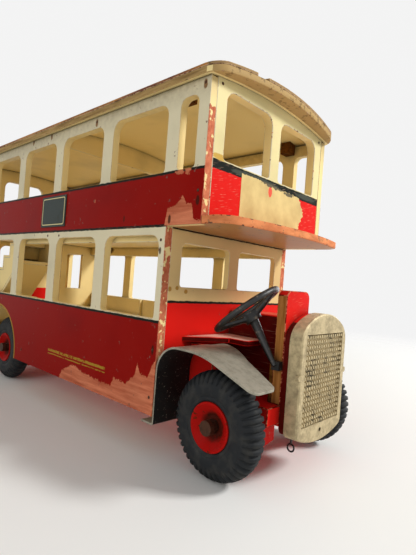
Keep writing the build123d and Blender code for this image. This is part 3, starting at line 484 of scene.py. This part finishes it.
# %% [markdown]
# ## Canopy, chassis and cab woodwork
#
# The canopy over the cab is the front of the upper floor. Its top and edge are red and worn to salmon;
# its underside is cream painted darker to tan, as the shade under the canopy. The tall dash board's sawn
# offside edge was never painted.

# %% Canopy
SALMON_WOOD = {"grain_scale": (60.0, 60.0, 200.0), "wood_tones": (SALMON_DEEP, SALMON_PALE)}
CANOPY_FLECK = srgb("#5f604c")
CANOPY_EDGE_FLECK = srgb("#4a3a34")
CANOPY_ZONES = [(0, SHADED_UNDERSIDE_TAN), (FLOOR_UNDER / MM + 0.7, DEEP_RED)]
canopy = enamel("canopy_enamel", CANOPY_ZONES, (0, CAB_X + 1 * MM, 1), chips=0.34,
                raw=[(0, FRONT_X + 0.5 * MM, 1)], raw_above=FLOOR_UNDER / MM + 0.4,
                flecks=(CANOPY_FLECK, 0.63), **SALMON_WOOD)
dress(["upper_floor"], canopy, enamel("worn_canopy_edge", [(0, DEEP_RED)], chips=0.62,
                                      flecks=(CANOPY_EDGE_FLECK, 0.57), **SALMON_WOOD), 0.7)
print("canopy's underside at", round(FLOOR_UNDER / MM, 1), "mm")

# %% Woodwork of the cab and chassis
DASH_WOOD = (srgb("#85501f"), srgb("#b77a40"))
FLOOR_HIGHLIGHT_PINK = srgb("#f0c6b2")
FLOOR_WORN = srgb("#b5684f")
plain_red = enamel("red_enamel", [(0, RED)], chips=0.27)
dash_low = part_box("dash")[0]
dash_red = enamel("dash_enamel", [(0, RED)], raw=[(1, dash_low.y + SIGHT, -1)], chips=0.25, scratched=0.3,
                  grain_scale=(420.0, 420.0, 24.0), wood_tones=DASH_WOOD)
dress(["dash"], dash_red, edge_red, 0.5)
brown_wood = enamel("bare_brown_wood", [(0, BROWN_DEEP)], chips=0.6, gloss=0.6,
                    wood_tones=(BROWN_DEEP, BROWN_PALE))
dress(["toe_board", "roof_cleats"], brown_wood, brown_wood, 0.3)
dress(["chassis_board", "cab_panel"], plain_red, edge_red, 0.6)
# The offside faces of the bonnet and the radiator backing are dark maroon: painted shade.
bonnet_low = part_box("bonnet")[0]
dress(["bonnet"], enamel("bonnet_enamel", [(0, PAINTED_SHADE_MAROON)], (1, bonnet_low.y + SIGHT, -1), inner=[(0, RED)],
                         chips=0.27, scratched=0.25), edge_red, 0.8)
backing_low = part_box("radiator_backing")[0]
dress(["radiator_backing"], enamel("backing_enamel", [(0, PAINTED_SHADE_MAROON)], (1, backing_low.y + 8 * MM, -1),
                                   inner=[(0, RED)], chips=0.27), edge_red, 0.4)
hanger_red = enamel("hanger_enamel", [(0, RED)], chips=0.38)
dress(["front_hangers", "rear_hangers"], hanger_red, edge_red, 0.5)
# The cab floor's top is pale pink, a painted highlight on its gloss, and its other faces are dark maroon,
# painted shade.
floor_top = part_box("cab_floor")[1].z
dress(["cab_floor"], enamel("cab_floor_enamel", [(0, FLOOR_HIGHLIGHT_PINK)], (2, floor_top - SIGHT, 1),
                            inner=[(0, PAINTED_SHADE_MAROON)], chips=0.33, gloss=0.28, grain_scale=(60.0, 60.0, 60.0),
                            wood_tones=(FLOOR_WORN, PALE_PINK)), plain_red, 0.5)
print("cab floor's top at", round(floor_top / MM, 1), "mm")

# %% [markdown]
# ## The roof
#
# Two plies bent over the walls. The lower one is cream inside, tan where it juts out in front, and bare
# along its sawn sides. The thin upper one has gone grey-brown with dirt, and its sawn edge shows orange
# and purple wood.

# %% Roof paint
SKIN_LOW, SKIN_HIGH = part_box("roof_skin")
ROOF_LOW, ROOF_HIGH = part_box("roof")
ROOF_TAN = srgb("#bd9c66")
ROOF_SAWN = srgb("#83673e")
ROOF_FLECK = srgb("#8f744b")
ROOF_EDGE_FLECK = srgb("#7d6440")
SKIN_TAN = srgb("#a5865c")
SKIN_FLECK = srgb("#7d6342")
SKIN_EDGE = srgb("#d9b98c")
SKIN_EDGE_FLECK = srgb("#5a3c30")

roof_paint = enamel("roof_ply_enamel", [(0, ROOF_TAN)], (0, FRONT_X + 2 * MM, 1), chips=0.30, gloss=0.5,
                    flecks=(ROOF_FLECK, 0.57), wood_tones=(ROOF_SAWN, ROOF_TAN),
                    raw=[(1, ROOF_LOW.y + SIGHT, -1), (1, ROOF_HIGH.y - SIGHT, 1)])
dress(["roof"], roof_paint, enamel("worn_roof_edge", [(0, ROOF_TAN)], chips=0.42,
                                   flecks=(ROOF_EDGE_FLECK, 0.56),
                                   wood_tones=(BROWN_PALE, PALE_PINK)), 0.5)
skin_paint = enamel("roof_skin_enamel", [(0, SKIN_TAN)], chips=0.36, gloss=0.6, flecks=(SKIN_FLECK, 0.62),
                    raw=[(1, SKIN_LOW.y + SIGHT, -1), (1, SKIN_HIGH.y - SIGHT, 1)],
                    wood_tones=(PLY_DEEP, PLY_PALE))
dress(["roof_skin"], skin_paint, enamel("worn_skin_edge", [(0, SKIN_EDGE)], chips=0.5,
                                        flecks=(SKIN_EDGE_FLECK, 0.56),
                                        wood_tones=(PLY_DEEP, PALE_PINK)), 0.4)
print("roof is", round((ROOF_HIGH.y - ROOF_LOW.y) / MM, 1), "mm wide")

# %% [markdown]
# ## Metals
#
# The radiator is sand cast aluminium: dull, pitted, warm grey, with dirt between the studs, where
# painted shade darkens it too. Bent aluminium sheet makes the mudguards, scratched on top and painted
# black beneath. The steering wheel is a black painted casting, and the axles have gone brown.

# %% Metal materials
SOOT_AND_SHADE_BLACK = srgb("#1c1916")
GUARD_BLACK = srgb("#161412")
SOOT_WAVES = 150.0  # 7 mm: one cake of soot


def metal(name, colour, dark, roughness, scale, depth, metallic=0.0, low=0.5, high=0.85, hub=None,
          nook=0.9, soot_and_shade=0.0):
    """Aged metal: a base colour, darker dirt in patches, painted shade in the corners, and a pitted surface.

    scale is pits per metre and depth their depth in mm. Dirt starts at the noise level low and is whole
    at high; nook is how much of the dark colour the corners take, as painted shade with the dirt, and the
    soot share is how strongly some of those corners go black, soot and painted shade at once. hub is the
    (x, z) of an axle in metres, and faces turned towards it are painted black.
    """
    material, tree, place = new_material(name)
    pits = noise(tree, place, scale, 5.0)
    cloud = noise(tree, place, scale / 5, 6.0, 0.7)
    # Ambient occlusion gives the corners the dark colour: painted shade, with the dirt.
    corner = add(tree, "ShaderNodeAmbientOcclusion", {"Distance": 3 * MM}, samples=4)
    corner = remap(tree, corner.outputs["AO"], 0.35, 0.9, nook, 0.0)
    patch = remap(tree, cloud, low, high)
    dirt_and_shade = calc(tree, "MAXIMUM", corner, patch)
    shade = mix(tree, dirt_and_shade, colour, dark)
    if soot_and_shade:
        caked_and_shaded = remap(tree, noise(tree, place, SOOT_WAVES, 4.0), 0.57, 0.65, 0.0, soot_and_shade)
        caked_and_shaded = calc(tree, "MULTIPLY", caked_and_shaded, corner, use_clamp=True)
        shade = mix(tree, caked_and_shaded, shade, SOOT_AND_SHADE_BLACK)
    if hub:
        axes = add(tree, "ShaderNodeSeparateXYZ", {0: place})
        level = add(tree, "ShaderNodeCombineXYZ", {0: axes.outputs[0], 2: axes.outputs[2]})
        inward = add(tree, "ShaderNodeVectorMath", {0: (hub[0], 0, hub[1]), 1: level}, operation="SUBTRACT")
        normal = add(tree, "ShaderNodeNewGeometry").outputs["Normal"]
        facing = add(tree, "ShaderNodeVectorMath", {0: inward, 1: normal}, operation="DOT_PRODUCT")
        wheel_side = calc(tree, "GREATER_THAN", facing.outputs["Value"], 12 * MM)
        black = calc(tree, "MULTIPLY", wheel_side, remap(tree, pits, 0.70, 0.66))
        shade = mix(tree, black, shade, GUARD_BLACK)
    rough = calc(tree, "MULTIPLY_ADD", dirt_and_shade, 0.25, roughness)
    bump = add(tree, "ShaderNodeBump", {"Height": pits, "Strength": 0.6, "Distance": depth * MM})
    close(tree, base_color=shade, roughness=rough, metallic=metallic, normal=bump)
    return material


# %% Metal parts and wheel discs
GUARD_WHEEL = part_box("tyre_front_offside")
FRONT_AXLE = (GUARD_WHEEL[0] + GUARD_WHEEL[1]) / 2
cast = metal("sand_cast_aluminium", srgb("#c6b48b"), srgb("#75664b"), roughness=0.55, scale=900, depth=0.12,
             metallic=0.4, low=0.42, high=0.78, nook=0.38, soot_and_shade=2.6)
sheet = metal("aluminium_sheet", srgb("#d2ccb8"), srgb("#3a352c"), roughness=0.45, scale=1400, depth=0.05,
              metallic=0.5, low=0.55, high=0.62)
guard = metal("mudguard_sheet", srgb("#a39d8c"), srgb("#6b6557"), roughness=0.5, scale=900, depth=0.05,
              metallic=0.4, low=0.42, high=0.80, hub=(FRONT_AXLE.x, FRONT_AXLE.z))
black_cast = metal("black_painted_casting", srgb("#0d0c0b"), srgb("#6e6252"), roughness=0.42, scale=1100,
                   depth=0.1, low=0.58, high=0.68, nook=0.12)
brown_steel = metal("brown_aged_steel", srgb("#4d3020"), srgb("#1f1510"), roughness=0.55, scale=1500,
                    depth=0.1, metallic=0.7)
dress(["radiator"], cast)
dress(["mudguard_offside", "mudguard_nearside"], guard, sheet, 0.4)
dress(["steering_column", "towing_eye"], black_cast)
dress(["front_axle", "rear_axle"], brown_steel)
# The wheel discs are darkened in a rust coloured blot 9.5 mm round each nave.
disc_paint = enamel("wheel_disc_enamel", [(0, srgb("#b3120d"))], chips=0.38, gloss=0.35,
                    stains=[(axle.x / MM, axle.z / MM, 9.5, 9.5) for axle in (FRONT_AXLE, REAR_AXLE)],
                    wood_tones=(GRIME_AND_SHADE, BROWN_DEEP))
dress([f"disc_{end}_{side}" for end in ("front", "rear") for side in ("offside", "nearside")],
      disc_paint, disc_paint, 0.4)
print("front axle at", round(FRONT_AXLE.x, 4), "rear axle at", round(REAR_AXLE.x, 4))

# %% [markdown]
# ## Tyres
#
# Moulded rubber with a transverse rib for grip every few millimetres. One rib's sector is a small
# mesh; Geometry Nodes repeats it round the axle, merges the seams and sets the rubber. Dust lies on
# it in patches of 6 mm, over grit under a millimetre wide.

# %% Rubber
rubber, tree, place = new_material("moulded_rubber")
dust = remap(tree, noise(tree, place, 160.0, 5.0), 0.45, 0.8, 0.0, 0.6)
skin = mix(tree, dust, srgb("#15181b"), srgb("#44423c"))
pitted = add(tree, "ShaderNodeBump", {"Height": noise(tree, place, 1500.0, 3.0), "Strength": 0.4,
                                      "Distance": 0.12 * MM})
close(tree, base_color=skin, roughness=0.7, specular_ior_level=0.3, normal=pitted)
print("rubber nodes:", len(tree.nodes))

# %% One rib's sector
TREAD_RIBS = 44
TYRE_PROFILE = [  # radius and half width in mm, share of the groove
    (14.5, 7.4, 0), (15.6, 8.1, 0), (17.0, 8.2, 0), (17.4, 7.9, 0), (17.8, 8.3, 0), (20.5, 8.5, 0),
    (23.5, 8.4, 0), (25.2, 8.1, 0.1), (26.4, 7.7, 0.7), (28.2, 6.8, 1), (30.0, 5.5, 1), (31.2, 3.8, 1),
    (31.8, 1.9, 1), (32.0, 0.0, 1)]
RIB_SHAPE = [(0.0, 1.0), (0.10, 1.0), (0.18, 0.35), (0.30, 0.0), (0.5, -0.05), (0.70, 0.0),
             (0.82, 0.35), (0.90, 1.0), (1.0, 1.0)]
GROOVE = 1.8  # mm


def join(mesh, one, two):
    """Adds the faces between two closed rows of vertices."""
    for i in range(len(one)):
        j = (i + 1) % len(one)
        mesh.faces.new((one[i], one[j], two[j], two[i]))


def finished(mesh, name):
    """Mesh data from a bmesh, with its faces turned outward."""
    bmesh.ops.recalc_face_normals(mesh, faces=mesh.faces)
    data = bpy.data.meshes.new(name)
    mesh.to_mesh(data)
    mesh.free()
    return data


def rib_sector():
    """Mesh of one rib from bead to bead, about the Y axis, closed when repeated."""
    path = TYRE_PROFILE + [(r, -y, share) for r, y, share in reversed(TYRE_PROFILE[:-1])]
    mesh = bmesh.new()
    rows = []
    for part, depth in RIB_SHAPE:
        turn = 2 * math.pi / TREAD_RIBS * part
        row = []
        for r, y, share in path:
            radius = (r - GROOVE * max(depth, 0) * share) * MM
            row.append(mesh.verts.new((radius * math.cos(turn), y * MM, radius * math.sin(turn))))
        rows.append(row)
    for one, two in zip(rows, rows[1:]):
        join(mesh, one, two)
    return finished(mesh, "rib_sector")


print("a rib every", round(2 * math.pi * TYRE_PROFILE[-1][0] / TREAD_RIBS, 1), "mm")


# %% Repeat round an axle with Geometry Nodes
def plain_object(name, data):
    """Links a mesh, a light or a camera as an object at the origin."""
    made = bpy.data.objects.new(name, data)
    bpy.context.scene.collection.objects.link(made)
    return made


def new_tree(name, **inputs):
    """Geometry Nodes tree that takes geometry and the named inputs, and gives geometry."""
    tree = bpy.data.node_groups.new(name, "GeometryNodeTree")
    for title, kind in {"Geometry": "Geometry", **inputs}.items():
        tree.interface.new_socket(title, in_out="INPUT", socket_type=f"NodeSocket{kind}")
    tree.interface.new_socket("Geometry", in_out="OUTPUT", socket_type="NodeSocketGeometry")
    return tree


def ring_tree():
    """Geometry Nodes tree that repeats a sector Count times about Y."""
    tree = new_tree("repeat_round_axle", Count="Int", Material="Material")
    given = add(tree, "NodeGroupInput")
    line = add(tree, "GeometryNodeMeshLine", {"Count": given.outputs["Count"], "Offset": (0, 0, 0)})
    step = calc(tree, "DIVIDE", 2 * math.pi, given.outputs["Count"])
    turn = calc(tree, "MULTIPLY", add(tree, "GeometryNodeInputIndex"), step)
    spin = add(tree, "FunctionNodeEulerToRotation", {0: add(tree, "ShaderNodeCombineXYZ", {1: turn})})
    many = add(tree, "GeometryNodeInstanceOnPoints", {
        "Points": line, "Instance": given.outputs["Geometry"], "Rotation": spin})
    real = add(tree, "GeometryNodeRealizeInstances", {0: many})
    whole = add(tree, "GeometryNodeMergeByDistance", {"Geometry": real, "Distance": 0.01 * MM})
    soft = add(tree, "GeometryNodeSetShadeSmooth", {0: whole})
    painted = add(tree, "GeometryNodeSetMaterial", {"Geometry": soft, "Material": given.outputs["Material"]})
    add(tree, "NodeGroupOutput", {0: painted})
    return tree


def set_input(modifier, name, value):
    """Sets a Geometry Nodes modifier's input by its socket's identifier."""
    for item in modifier.node_group.interface.items_tree:
        if item.item_type == "SOCKET" and item.in_out == "INPUT" and item.name == name:
            modifier[item.identifier] = value


def baked(obj, name):
    """The evaluated object as a plain mesh object at the origin; the source is removed."""
    bpy.context.view_layer.update()
    graph = bpy.context.evaluated_depsgraph_get()
    data = bpy.data.meshes.new_from_object(obj.evaluated_get(graph), depsgraph=graph)
    data.transform(obj.matrix_world)
    bpy.data.objects.remove(obj)
    return plain_object(name, data)


round_axle = ring_tree()
for end in ("front", "rear"):
    for side in ("offside", "nearside"):
        sector = plain_object("sector", rib_sector())
        modifier = sector.modifiers.new("ribs", "NODES")
        modifier.node_group = round_axle
        set_input(modifier, "Count", TREAD_RIBS)
        set_input(modifier, "Material", rubber)
        tyre = baked(sector, f"ribbed_tyre_{end}_{side}")
        low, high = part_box(f"tyre_{end}_{side}")
        tyre.data.transform(Matrix.Translation((low + high) / 2))
        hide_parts(f"tyre_{end}_{side}")
        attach(tyre, f"wheel_{end}_{side}")
print("tyre faces:", len(tyre.data.polygons))

# %% [markdown]
# ## The steering wheel
#
# A small casting: a round rim, a boss on the column and two pairs of tapering spokes that run into
# both with soft fillets. Rough solids overlap, a voxel remesh fuses them, and smoothing makes the
# fillets that the sand mould gave.

# %% Cast steering wheel
WHEEL_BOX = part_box("steering_wheel")
RIM_MIDDLE = (WHEEL_BOX[0] + WHEEL_BOX[1]) / 2
TILT, LEAN = math.radians(50.5), math.radians(24.0)
AXIS = Vector((-math.cos(TILT) * math.cos(LEAN), -math.cos(TILT) * math.sin(LEAN), math.sin(TILT)))
ACROSS = (Vector((0, 1, 0)) - AXIS.y * AXIS).normalized()
RIM_RISE = 8.5  # mm, as are the sizes below
RIM_RADIUS = 22.2
RIM_WIRE = 2.05
BOSS_HEIGHT = 6.0
BOSS_RADII = (5.4, 5.6)
SPOKE_FOOT = 2.5
SPOKE_RADII = (2.6, 1.75)  # at the boss and at the rim
SPOKE_SQUASH = (0.8, 1.25, 1.0, 1.0)
SPOKE_ANGLES = (106.6, 140.6, 286.6, 320.6)
RIM_STEPS, WIRE_STEPS = 72, 12


def rough_rim(mesh):
    """Adds the rim: a wire bent into a ring."""
    rings = []
    for i in range(RIM_STEPS):
        a = 2 * math.pi * i / RIM_STEPS
        row = []
        for j in range(WIRE_STEPS):
            b = 2 * math.pi * j / WIRE_STEPS
            r = RIM_RADIUS + RIM_WIRE * math.cos(b)
            row.append(mesh.verts.new((r * math.cos(a), r * math.sin(a), RIM_RISE + RIM_WIRE * math.sin(b))))
        rings.append(row)
    for i in range(RIM_STEPS):
        one, two = rings[i], rings[(i + 1) % RIM_STEPS]
        for j in range(WIRE_STEPS):
            k = (j + 1) % WIRE_STEPS
            mesh.faces.new((one[j], two[j], two[k], one[k]))


def cast_wheel():
    """Rough solids of the wheel about Z, its boss at the origin, in mm."""
    mesh = bmesh.new()
    rough_rim(mesh)
    bmesh.ops.create_cone(mesh, cap_ends=True, segments=32, radius1=BOSS_RADII[0], radius2=BOSS_RADII[1],
                          depth=BOSS_HEIGHT, matrix=Matrix.Translation((0, 0, BOSS_HEIGHT / 2)))
    rise = math.atan2(RIM_RADIUS, RIM_RISE - SPOKE_FOOT)
    length = math.hypot(RIM_RADIUS, RIM_RISE - SPOKE_FOOT) - 0.5
    for angle in SPOKE_ANGLES:
        place = (Matrix.Translation((0, 0, SPOKE_FOOT)) @ Matrix.Rotation(math.radians(angle), 4, "Z")
                 @ Matrix.Rotation(rise, 4, "Y") @ Matrix.Translation((0, 0, length / 2))
                 @ Matrix.Diagonal(SPOKE_SQUASH))
        bmesh.ops.create_cone(mesh, cap_ends=True, segments=12, radius1=SPOKE_RADII[0],
                              radius2=SPOKE_RADII[1], depth=length, matrix=place)
    data = finished(mesh, "cast_wheel")
    data.transform(Matrix.Scale(MM, 4))
    return data


rough_wheel = plain_object("rough_wheel", cast_wheel())
fuse = rough_wheel.modifiers.new("fuse", "REMESH")
fuse.mode = "VOXEL"
fuse.voxel_size = 0.5 * MM
fuse.use_smooth_shade = True
fillet = rough_wheel.modifiers.new("fillet", "SMOOTH")
fillet.factor = 0.5
fillet.iterations = 5
wheel = baked(rough_wheel, "cast_steering_wheel")
turned = Matrix((ACROSS, AXIS.cross(ACROSS), AXIS)).transposed().to_4x4()
wheel.data.transform(Matrix.Translation(RIM_MIDDLE - RIM_RISE * MM * AXIS) @ turned)
wheel.data.materials.clear()
wheel.data.materials.append(black_cast)
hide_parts("steering_wheel")
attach(wheel, "bus")
print("steering wheel faces:", len(wheel.data.polygons))

# %% [markdown]
# ## Paper label and plate
#
# A paper label is pasted across the front below the windows. It is left blank. Its right end is torn,
# so its outline is cut from a fine grid with a ragged edge, a tenth of a millimetre thick. The small
# dark plate on the offside is blank too, inside a cream painted line.

# %% Paper
# Fibres show as specks of 2 mm, and yellowing as blotches of 17 mm. The marks are rubbed off paint:
# an ellipse, its colour, and the noise level where it starts.
PAPER_MARKS = [((-3.1, 181.5, 2.4, 4.0), RED, 0.6), ((2, 187.5, 28, 5.0), BLACK, 1.10),
               ((20, 184.5, 14, 3.0), BLACK, 1.22)]
paper, tree, place = new_material("yellowed_paper")
fibre = noise(tree, place, 500.0, 5.0)
shade = remap(tree, noise(tree, place, 60.0, 4.0), 0.35, 0.75)
tint = mix(tree, shade, srgb("#e3cb86"), srgb("#c3a666"))
across_up = list(add(tree, "ShaderNodeSeparateXYZ", {0: place}).outputs)[1:]
for mark, paint, level in PAPER_MARKS:
    worn = calc(tree, "ADD", blot(tree, across_up, mark), fibre)
    tint = mix(tree, remap(tree, worn, level, level + 0.12, 0.0, 0.85), tint, paint)
matt = add(tree, "ShaderNodeBump", {"Height": fibre, "Strength": 0.4, "Distance": 0.05 * MM})
close(tree, base_color=tint, roughness=0.8, normal=matt)
print("paper nodes:", len(tree.nodes))

# %% Torn label
LABEL = {"left": -35.6, "right": 40.5, "foot": 155.2, "head": 187.0}
PAPER_THICK = 0.12  # mm, as is the label
COLUMNS, LINES = 76, 30


def torn_label():
    """Thin sheet on the front wall whose nearside end and head are torn."""
    rng = random.Random(7)
    mesh = bmesh.new()
    tear = [rng.uniform(-1.2, 1.2) for _ in range(LINES + 1)]
    nick = [rng.uniform(-0.5, 0.3) for _ in range(COLUMNS + 1)]
    grid = []
    for j in range(LINES + 1):
        v = j / LINES
        end = LABEL["right"] + tear[j] - 9.0 * max(0.0, v - 0.55) - 2.5 * math.sin(v * 7)
        row = []
        for i in range(COLUMNS + 1):
            u = i / COLUMNS
            y = LABEL["left"] + (end - LABEL["left"]) * u
            top = LABEL["head"] + nick[i] - 3.0 * max(0.0, u - 0.35)
            z = LABEL["foot"] + (top - LABEL["foot"]) * v
            lift = 0.12 + 0.05 * math.sin(u * 9 + v * 5)
            row.append(mesh.verts.new((FRONT_X + lift * MM, y * MM, z * MM)))
        grid.append(row)
    for j in range(LINES):
        for i in range(COLUMNS):
            mesh.faces.new((grid[j][i], grid[j][i + 1], grid[j + 1][i + 1], grid[j + 1][i]))
    data = finished(mesh, "label")
    data.materials.append(paper)
    return data


sheet_piece = plain_object("rough_label", torn_label())
thick = sheet_piece.modifiers.new("paper", "SOLIDIFY")
thick.thickness = PAPER_THICK * MM
thick.offset = -1
label = baked(sheet_piece, "blank_paper_label")
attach(label, "bus")
print("label faces:", len(label.data.polygons))

# %% Plate and its border line
PLATE_LOW, PLATE_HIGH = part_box("route_plate")
BORDER = {"inset": 1.6 * MM, "width": 0.7 * MM, "lift": 0.12 * MM, "corner": 2.0 * MM}
dress(["route_plate"], metal("dark_green_plate_paint", srgb("#10201a"), srgb("#2b2a20"), roughness=0.6,
                             scale=600, depth=0.03, low=0.55, high=0.8))


def rounded_loop(low, high, shrink, radius):
    """Corners of a rectangle in x and z, drawn in by shrink and rounded, as a loop of points."""
    x0, x1 = low.x + shrink + radius, high.x - shrink - radius
    z0, z1 = low.z + shrink + radius, high.z - shrink - radius
    loop = []
    for cx, cz, start in ((x1, z1, 0), (x0, z1, 90), (x0, z0, 180), (x1, z0, 270)):
        for k in range(7):
            a = math.radians(start + 15 * k)
            loop.append((cx + radius * math.cos(a), cz + radius * math.sin(a)))
    return loop


def border(low, high, inset, width, lift, corner):
    """Flat ring with rounded corners, proud of the plate's face by lift, all in metres."""
    mesh = bmesh.new()
    outline = rounded_loop(low, high, inset, corner)
    inside = rounded_loop(low, high, inset + width, corner - width)
    loops = []
    for y in (low.y - lift, low.y):
        for loop in (outline, inside):
            loops.append([mesh.verts.new((x, y, z)) for x, z in loop])
    front_out, front_in, back_out, back_in = loops
    for one, two in ((front_out, front_in), (back_out, front_out), (front_in, back_in), (back_in, back_out)):
        join(mesh, one, two)
    return finished(mesh, "border")


line_piece = plain_object("plate_border_line", border(PLATE_LOW, PLATE_HIGH, **BORDER))
line_piece.data.materials.append(enamel("cream_line_enamel", [(0, CREAM)], chips=0.3))
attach(line_piece, "bus")
print("border faces:", len(line_piece.data.polygons))

# %% [markdown]
# ## Nails
#
# The boards are held by small round nails whose heads have rusted. Their places are points in a mesh,
# each with the direction it faces, and Geometry Nodes sets one domed head on each. Places on the sides
# are in mm along from the front wall and up from the floor. Only a few show on the offside.

# %% Nail heads
NEARSIDE_NAILS = [
    (-6, 234.0), (-3.5, 163.5), (-3.5, 190.0), (-32, 231.5), (-105, 231.5), (-178, 231.5), (-251, 231.5),
    (-324, 231.5), (-397, 231.5), (-404, 163.0), (-128, 151.8), (-230, 151.8), (-330, 151.8),
    (-34, 140.0), (-34, 70.0), (-34, 40.0), (-150, 147.0), (-220, 40.0), (-392, 147.0), (-402, 60.0)]
LOWER_OFFSIDE_NAILS = [(-34, 140.0), (-34, 70.0), (-34, 40.0), (-220, 40.0), (-402, 60.0)]
FRONT_NAILS = [(-60.0, 235.0), (60.0, 235.0)]
NAIL_RADIUS = 1.0 * MM


def nail_points():
    """Points for the nail heads, with the way each one faces as an attribute."""
    places = []
    facing = []
    for sign, nails_here in ((-1, OFFSIDE_NAILS + LOWER_OFFSIDE_NAILS), (1, NEARSIDE_NAILS)):
        for x, z in nails_here:
            places.append((FRONT_X + x * MM, sign * BODY_HALF, z * MM))
            facing.append((0, sign, 0))
    for y, z in FRONT_NAILS:
        places.append((FRONT_X, y * MM, z * MM))
        facing.append((1, 0, 0))
    data = bpy.data.meshes.new("nail_points")
    data.from_pydata(places, [], [])
    way = data.attributes.new("facing", "FLOAT_VECTOR", "POINT")
    way.data.foreach_set("vector", [value for one in facing for value in one])
    return data


def nail_tree():
    """Geometry Nodes tree: a flattened dome of the given radius on every point, turned to its facing."""
    tree = new_tree("nails_on_points", Radius="Float", Material="Material")
    given = add(tree, "NodeGroupInput")
    dome = add(tree, "GeometryNodeMeshUVSphere", {"Segments": 12, "Rings": 6,
                                                  "Radius": given.outputs["Radius"]})
    flat = add(tree, "GeometryNodeTransform", {"Geometry": dome, "Scale": (1.0, 1.0, 0.35)})
    way = add(tree, "GeometryNodeInputNamedAttribute", {"Name": "facing"}, data_type="FLOAT_VECTOR")
    aim = add(tree, "FunctionNodeAlignRotationToVector", {"Vector": way}, axis="Z")
    heads = add(tree, "GeometryNodeInstanceOnPoints", {
        "Points": given.outputs["Geometry"], "Instance": flat, "Rotation": aim})
    real = add(tree, "GeometryNodeRealizeInstances", {0: heads})
    soft = add(tree, "GeometryNodeSetShadeSmooth", {0: real})
    painted = add(tree, "GeometryNodeSetMaterial", {"Geometry": soft, "Material": given.outputs["Material"]})
    add(tree, "NodeGroupOutput", {0: painted})
    return tree


points = plain_object("nail_points", nail_points())
heads = points.modifiers.new("nails", "NODES")
heads.node_group = nail_tree()
set_input(heads, "Radius", NAIL_RADIUS)
set_input(heads, "Material", brown_steel)
nails = baked(points, "nail_heads")
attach(nails, "bus")
print("nail faces:", len(nails.data.polygons))

# %% [markdown]
# ## Light, floor and camera
#
# The photo was taken in low sun from ahead of the bus, so the front is bright and the offside is in
# shade. A soft key light stands there, a weak fill stands by the camera, a low one shines in through
# the nearside windows, and a pale world fills the rest. The floor fades out into the white background.

# %% World
SKY_LIGHT = 0.42
SKY_SEEN = 0.9
scene = bpy.context.scene
scene.view_settings.view_transform = "Standard"
world = bpy.data.worlds.new("studio")
scene.world = world
world.use_nodes = True
tree = world.node_tree
tree.nodes.clear()
path = add(tree, "ShaderNodeLightPath")
seen = calc(tree, "MAXIMUM", path.outputs["Is Camera Ray"], path.outputs["Is Glossy Ray"])
seen = calc(tree, "MAXIMUM", seen, path.outputs["Is Transmission Ray"])
strength = remap(tree, seen, 0.0, 1.0, SKY_LIGHT, SKY_SEEN)
sky = add(tree, "ShaderNodeBackground", {"Color": (1, 1, 1, 1), "Strength": strength})
add(tree, "ShaderNodeOutputWorld", {"Surface": sky})
print("sky gives", SKY_LIGHT, "and is seen at", SKY_SEEN)

# %% Floor
FLOOR_RADIUS = 1.6
FADE_START, FADE_END = 0.35, 1.1
floor_material, tree, place = new_material("pale_floor")
spread = add(tree, "ShaderNodeVectorMath", {0: place}, operation="LENGTH")
fade = remap(tree, spread.outputs["Value"], FADE_START, FADE_END, interpolation_type="SMOOTHSTEP")
matt = add(tree, "ShaderNodeBsdfDiffuse", {"Color": srgb("#efeeea")})
clear = add(tree, "ShaderNodeBsdfTransparent")
mixed = add(tree, "ShaderNodeMixShader", {0: fade, 1: matt, 2: clear})
add(tree, "ShaderNodeOutputMaterial", {"Surface": mixed})
ground = bmesh.new()
bmesh.ops.create_circle(ground, cap_ends=True, segments=64, radius=FLOOR_RADIUS)
floor_mesh = bpy.data.meshes.new("floor")
ground.to_mesh(floor_mesh)
ground.free()
floor_mesh.materials.append(floor_material)
floor = plain_object("floor", floor_mesh)
print("floor fades from", FADE_START, "to", FADE_END, "m")


# %% Lamps
def lamp(name, place, aim, size, watts):
    """Square area lamp turned to a point."""
    data = bpy.data.lights.new(name, "AREA")
    data.size = size
    data.energy = watts
    light = plain_object(name, data)
    light.location = place
    light.rotation_mode = "QUATERNION"
    light.rotation_quaternion = (Vector(aim) - Vector(place)).to_track_quat("-Z", "Y")


lamp("key", place=(1.12, 0.73, 0.95), aim=(0.1, 0, 0.12), size=0.3, watts=18.5)
lamp("fill", place=(0.20, -1.30, 0.60), aim=(0.0, 0, 0.12), size=0.9, watts=4.0)
lamp("window", place=(0.00, 1.30, 0.22), aim=(0.0, 0, 0.16), size=0.8, watts=6.0)
print("lamps:", len(bpy.data.lights))

# %% Camera
# Solved from the photo's straight edges: place in metres, angles in degrees, focal length in pixels.
CAMERA_PLACE = (0.35195, -0.24442, 0.11542)
AZIMUTH, ELEVATION, ROLL = (math.radians(a) for a in (42.585, 0.644, 4.344))
FOCAL_PIXELS, LONG_SIDE = 419.4, 555
ahead = Vector((-math.sin(AZIMUTH) * math.cos(ELEVATION), math.cos(AZIMUTH) * math.cos(ELEVATION),
                math.sin(ELEVATION)))
lens = bpy.data.cameras.new("camera")
lens.sensor_width = 36.0
lens.lens = FOCAL_PIXELS / LONG_SIDE * lens.sensor_width
lens.clip_start = 0.01
camera = plain_object("camera", lens)
level = ahead.cross(Vector((0, 0, 1))).normalized()
upright = level.cross(ahead)
right = level * math.cos(ROLL) + upright * math.sin(ROLL)
top = right.cross(ahead)
camera.matrix_world = Matrix.Translation(CAMERA_PLACE) @ Matrix((right, top, -ahead)).transposed().to_4x4()
scene.camera = camera
print("focal length", round(lens.lens, 2), "mm")

# %% Update the scene
bpy.context.view_layer.update()
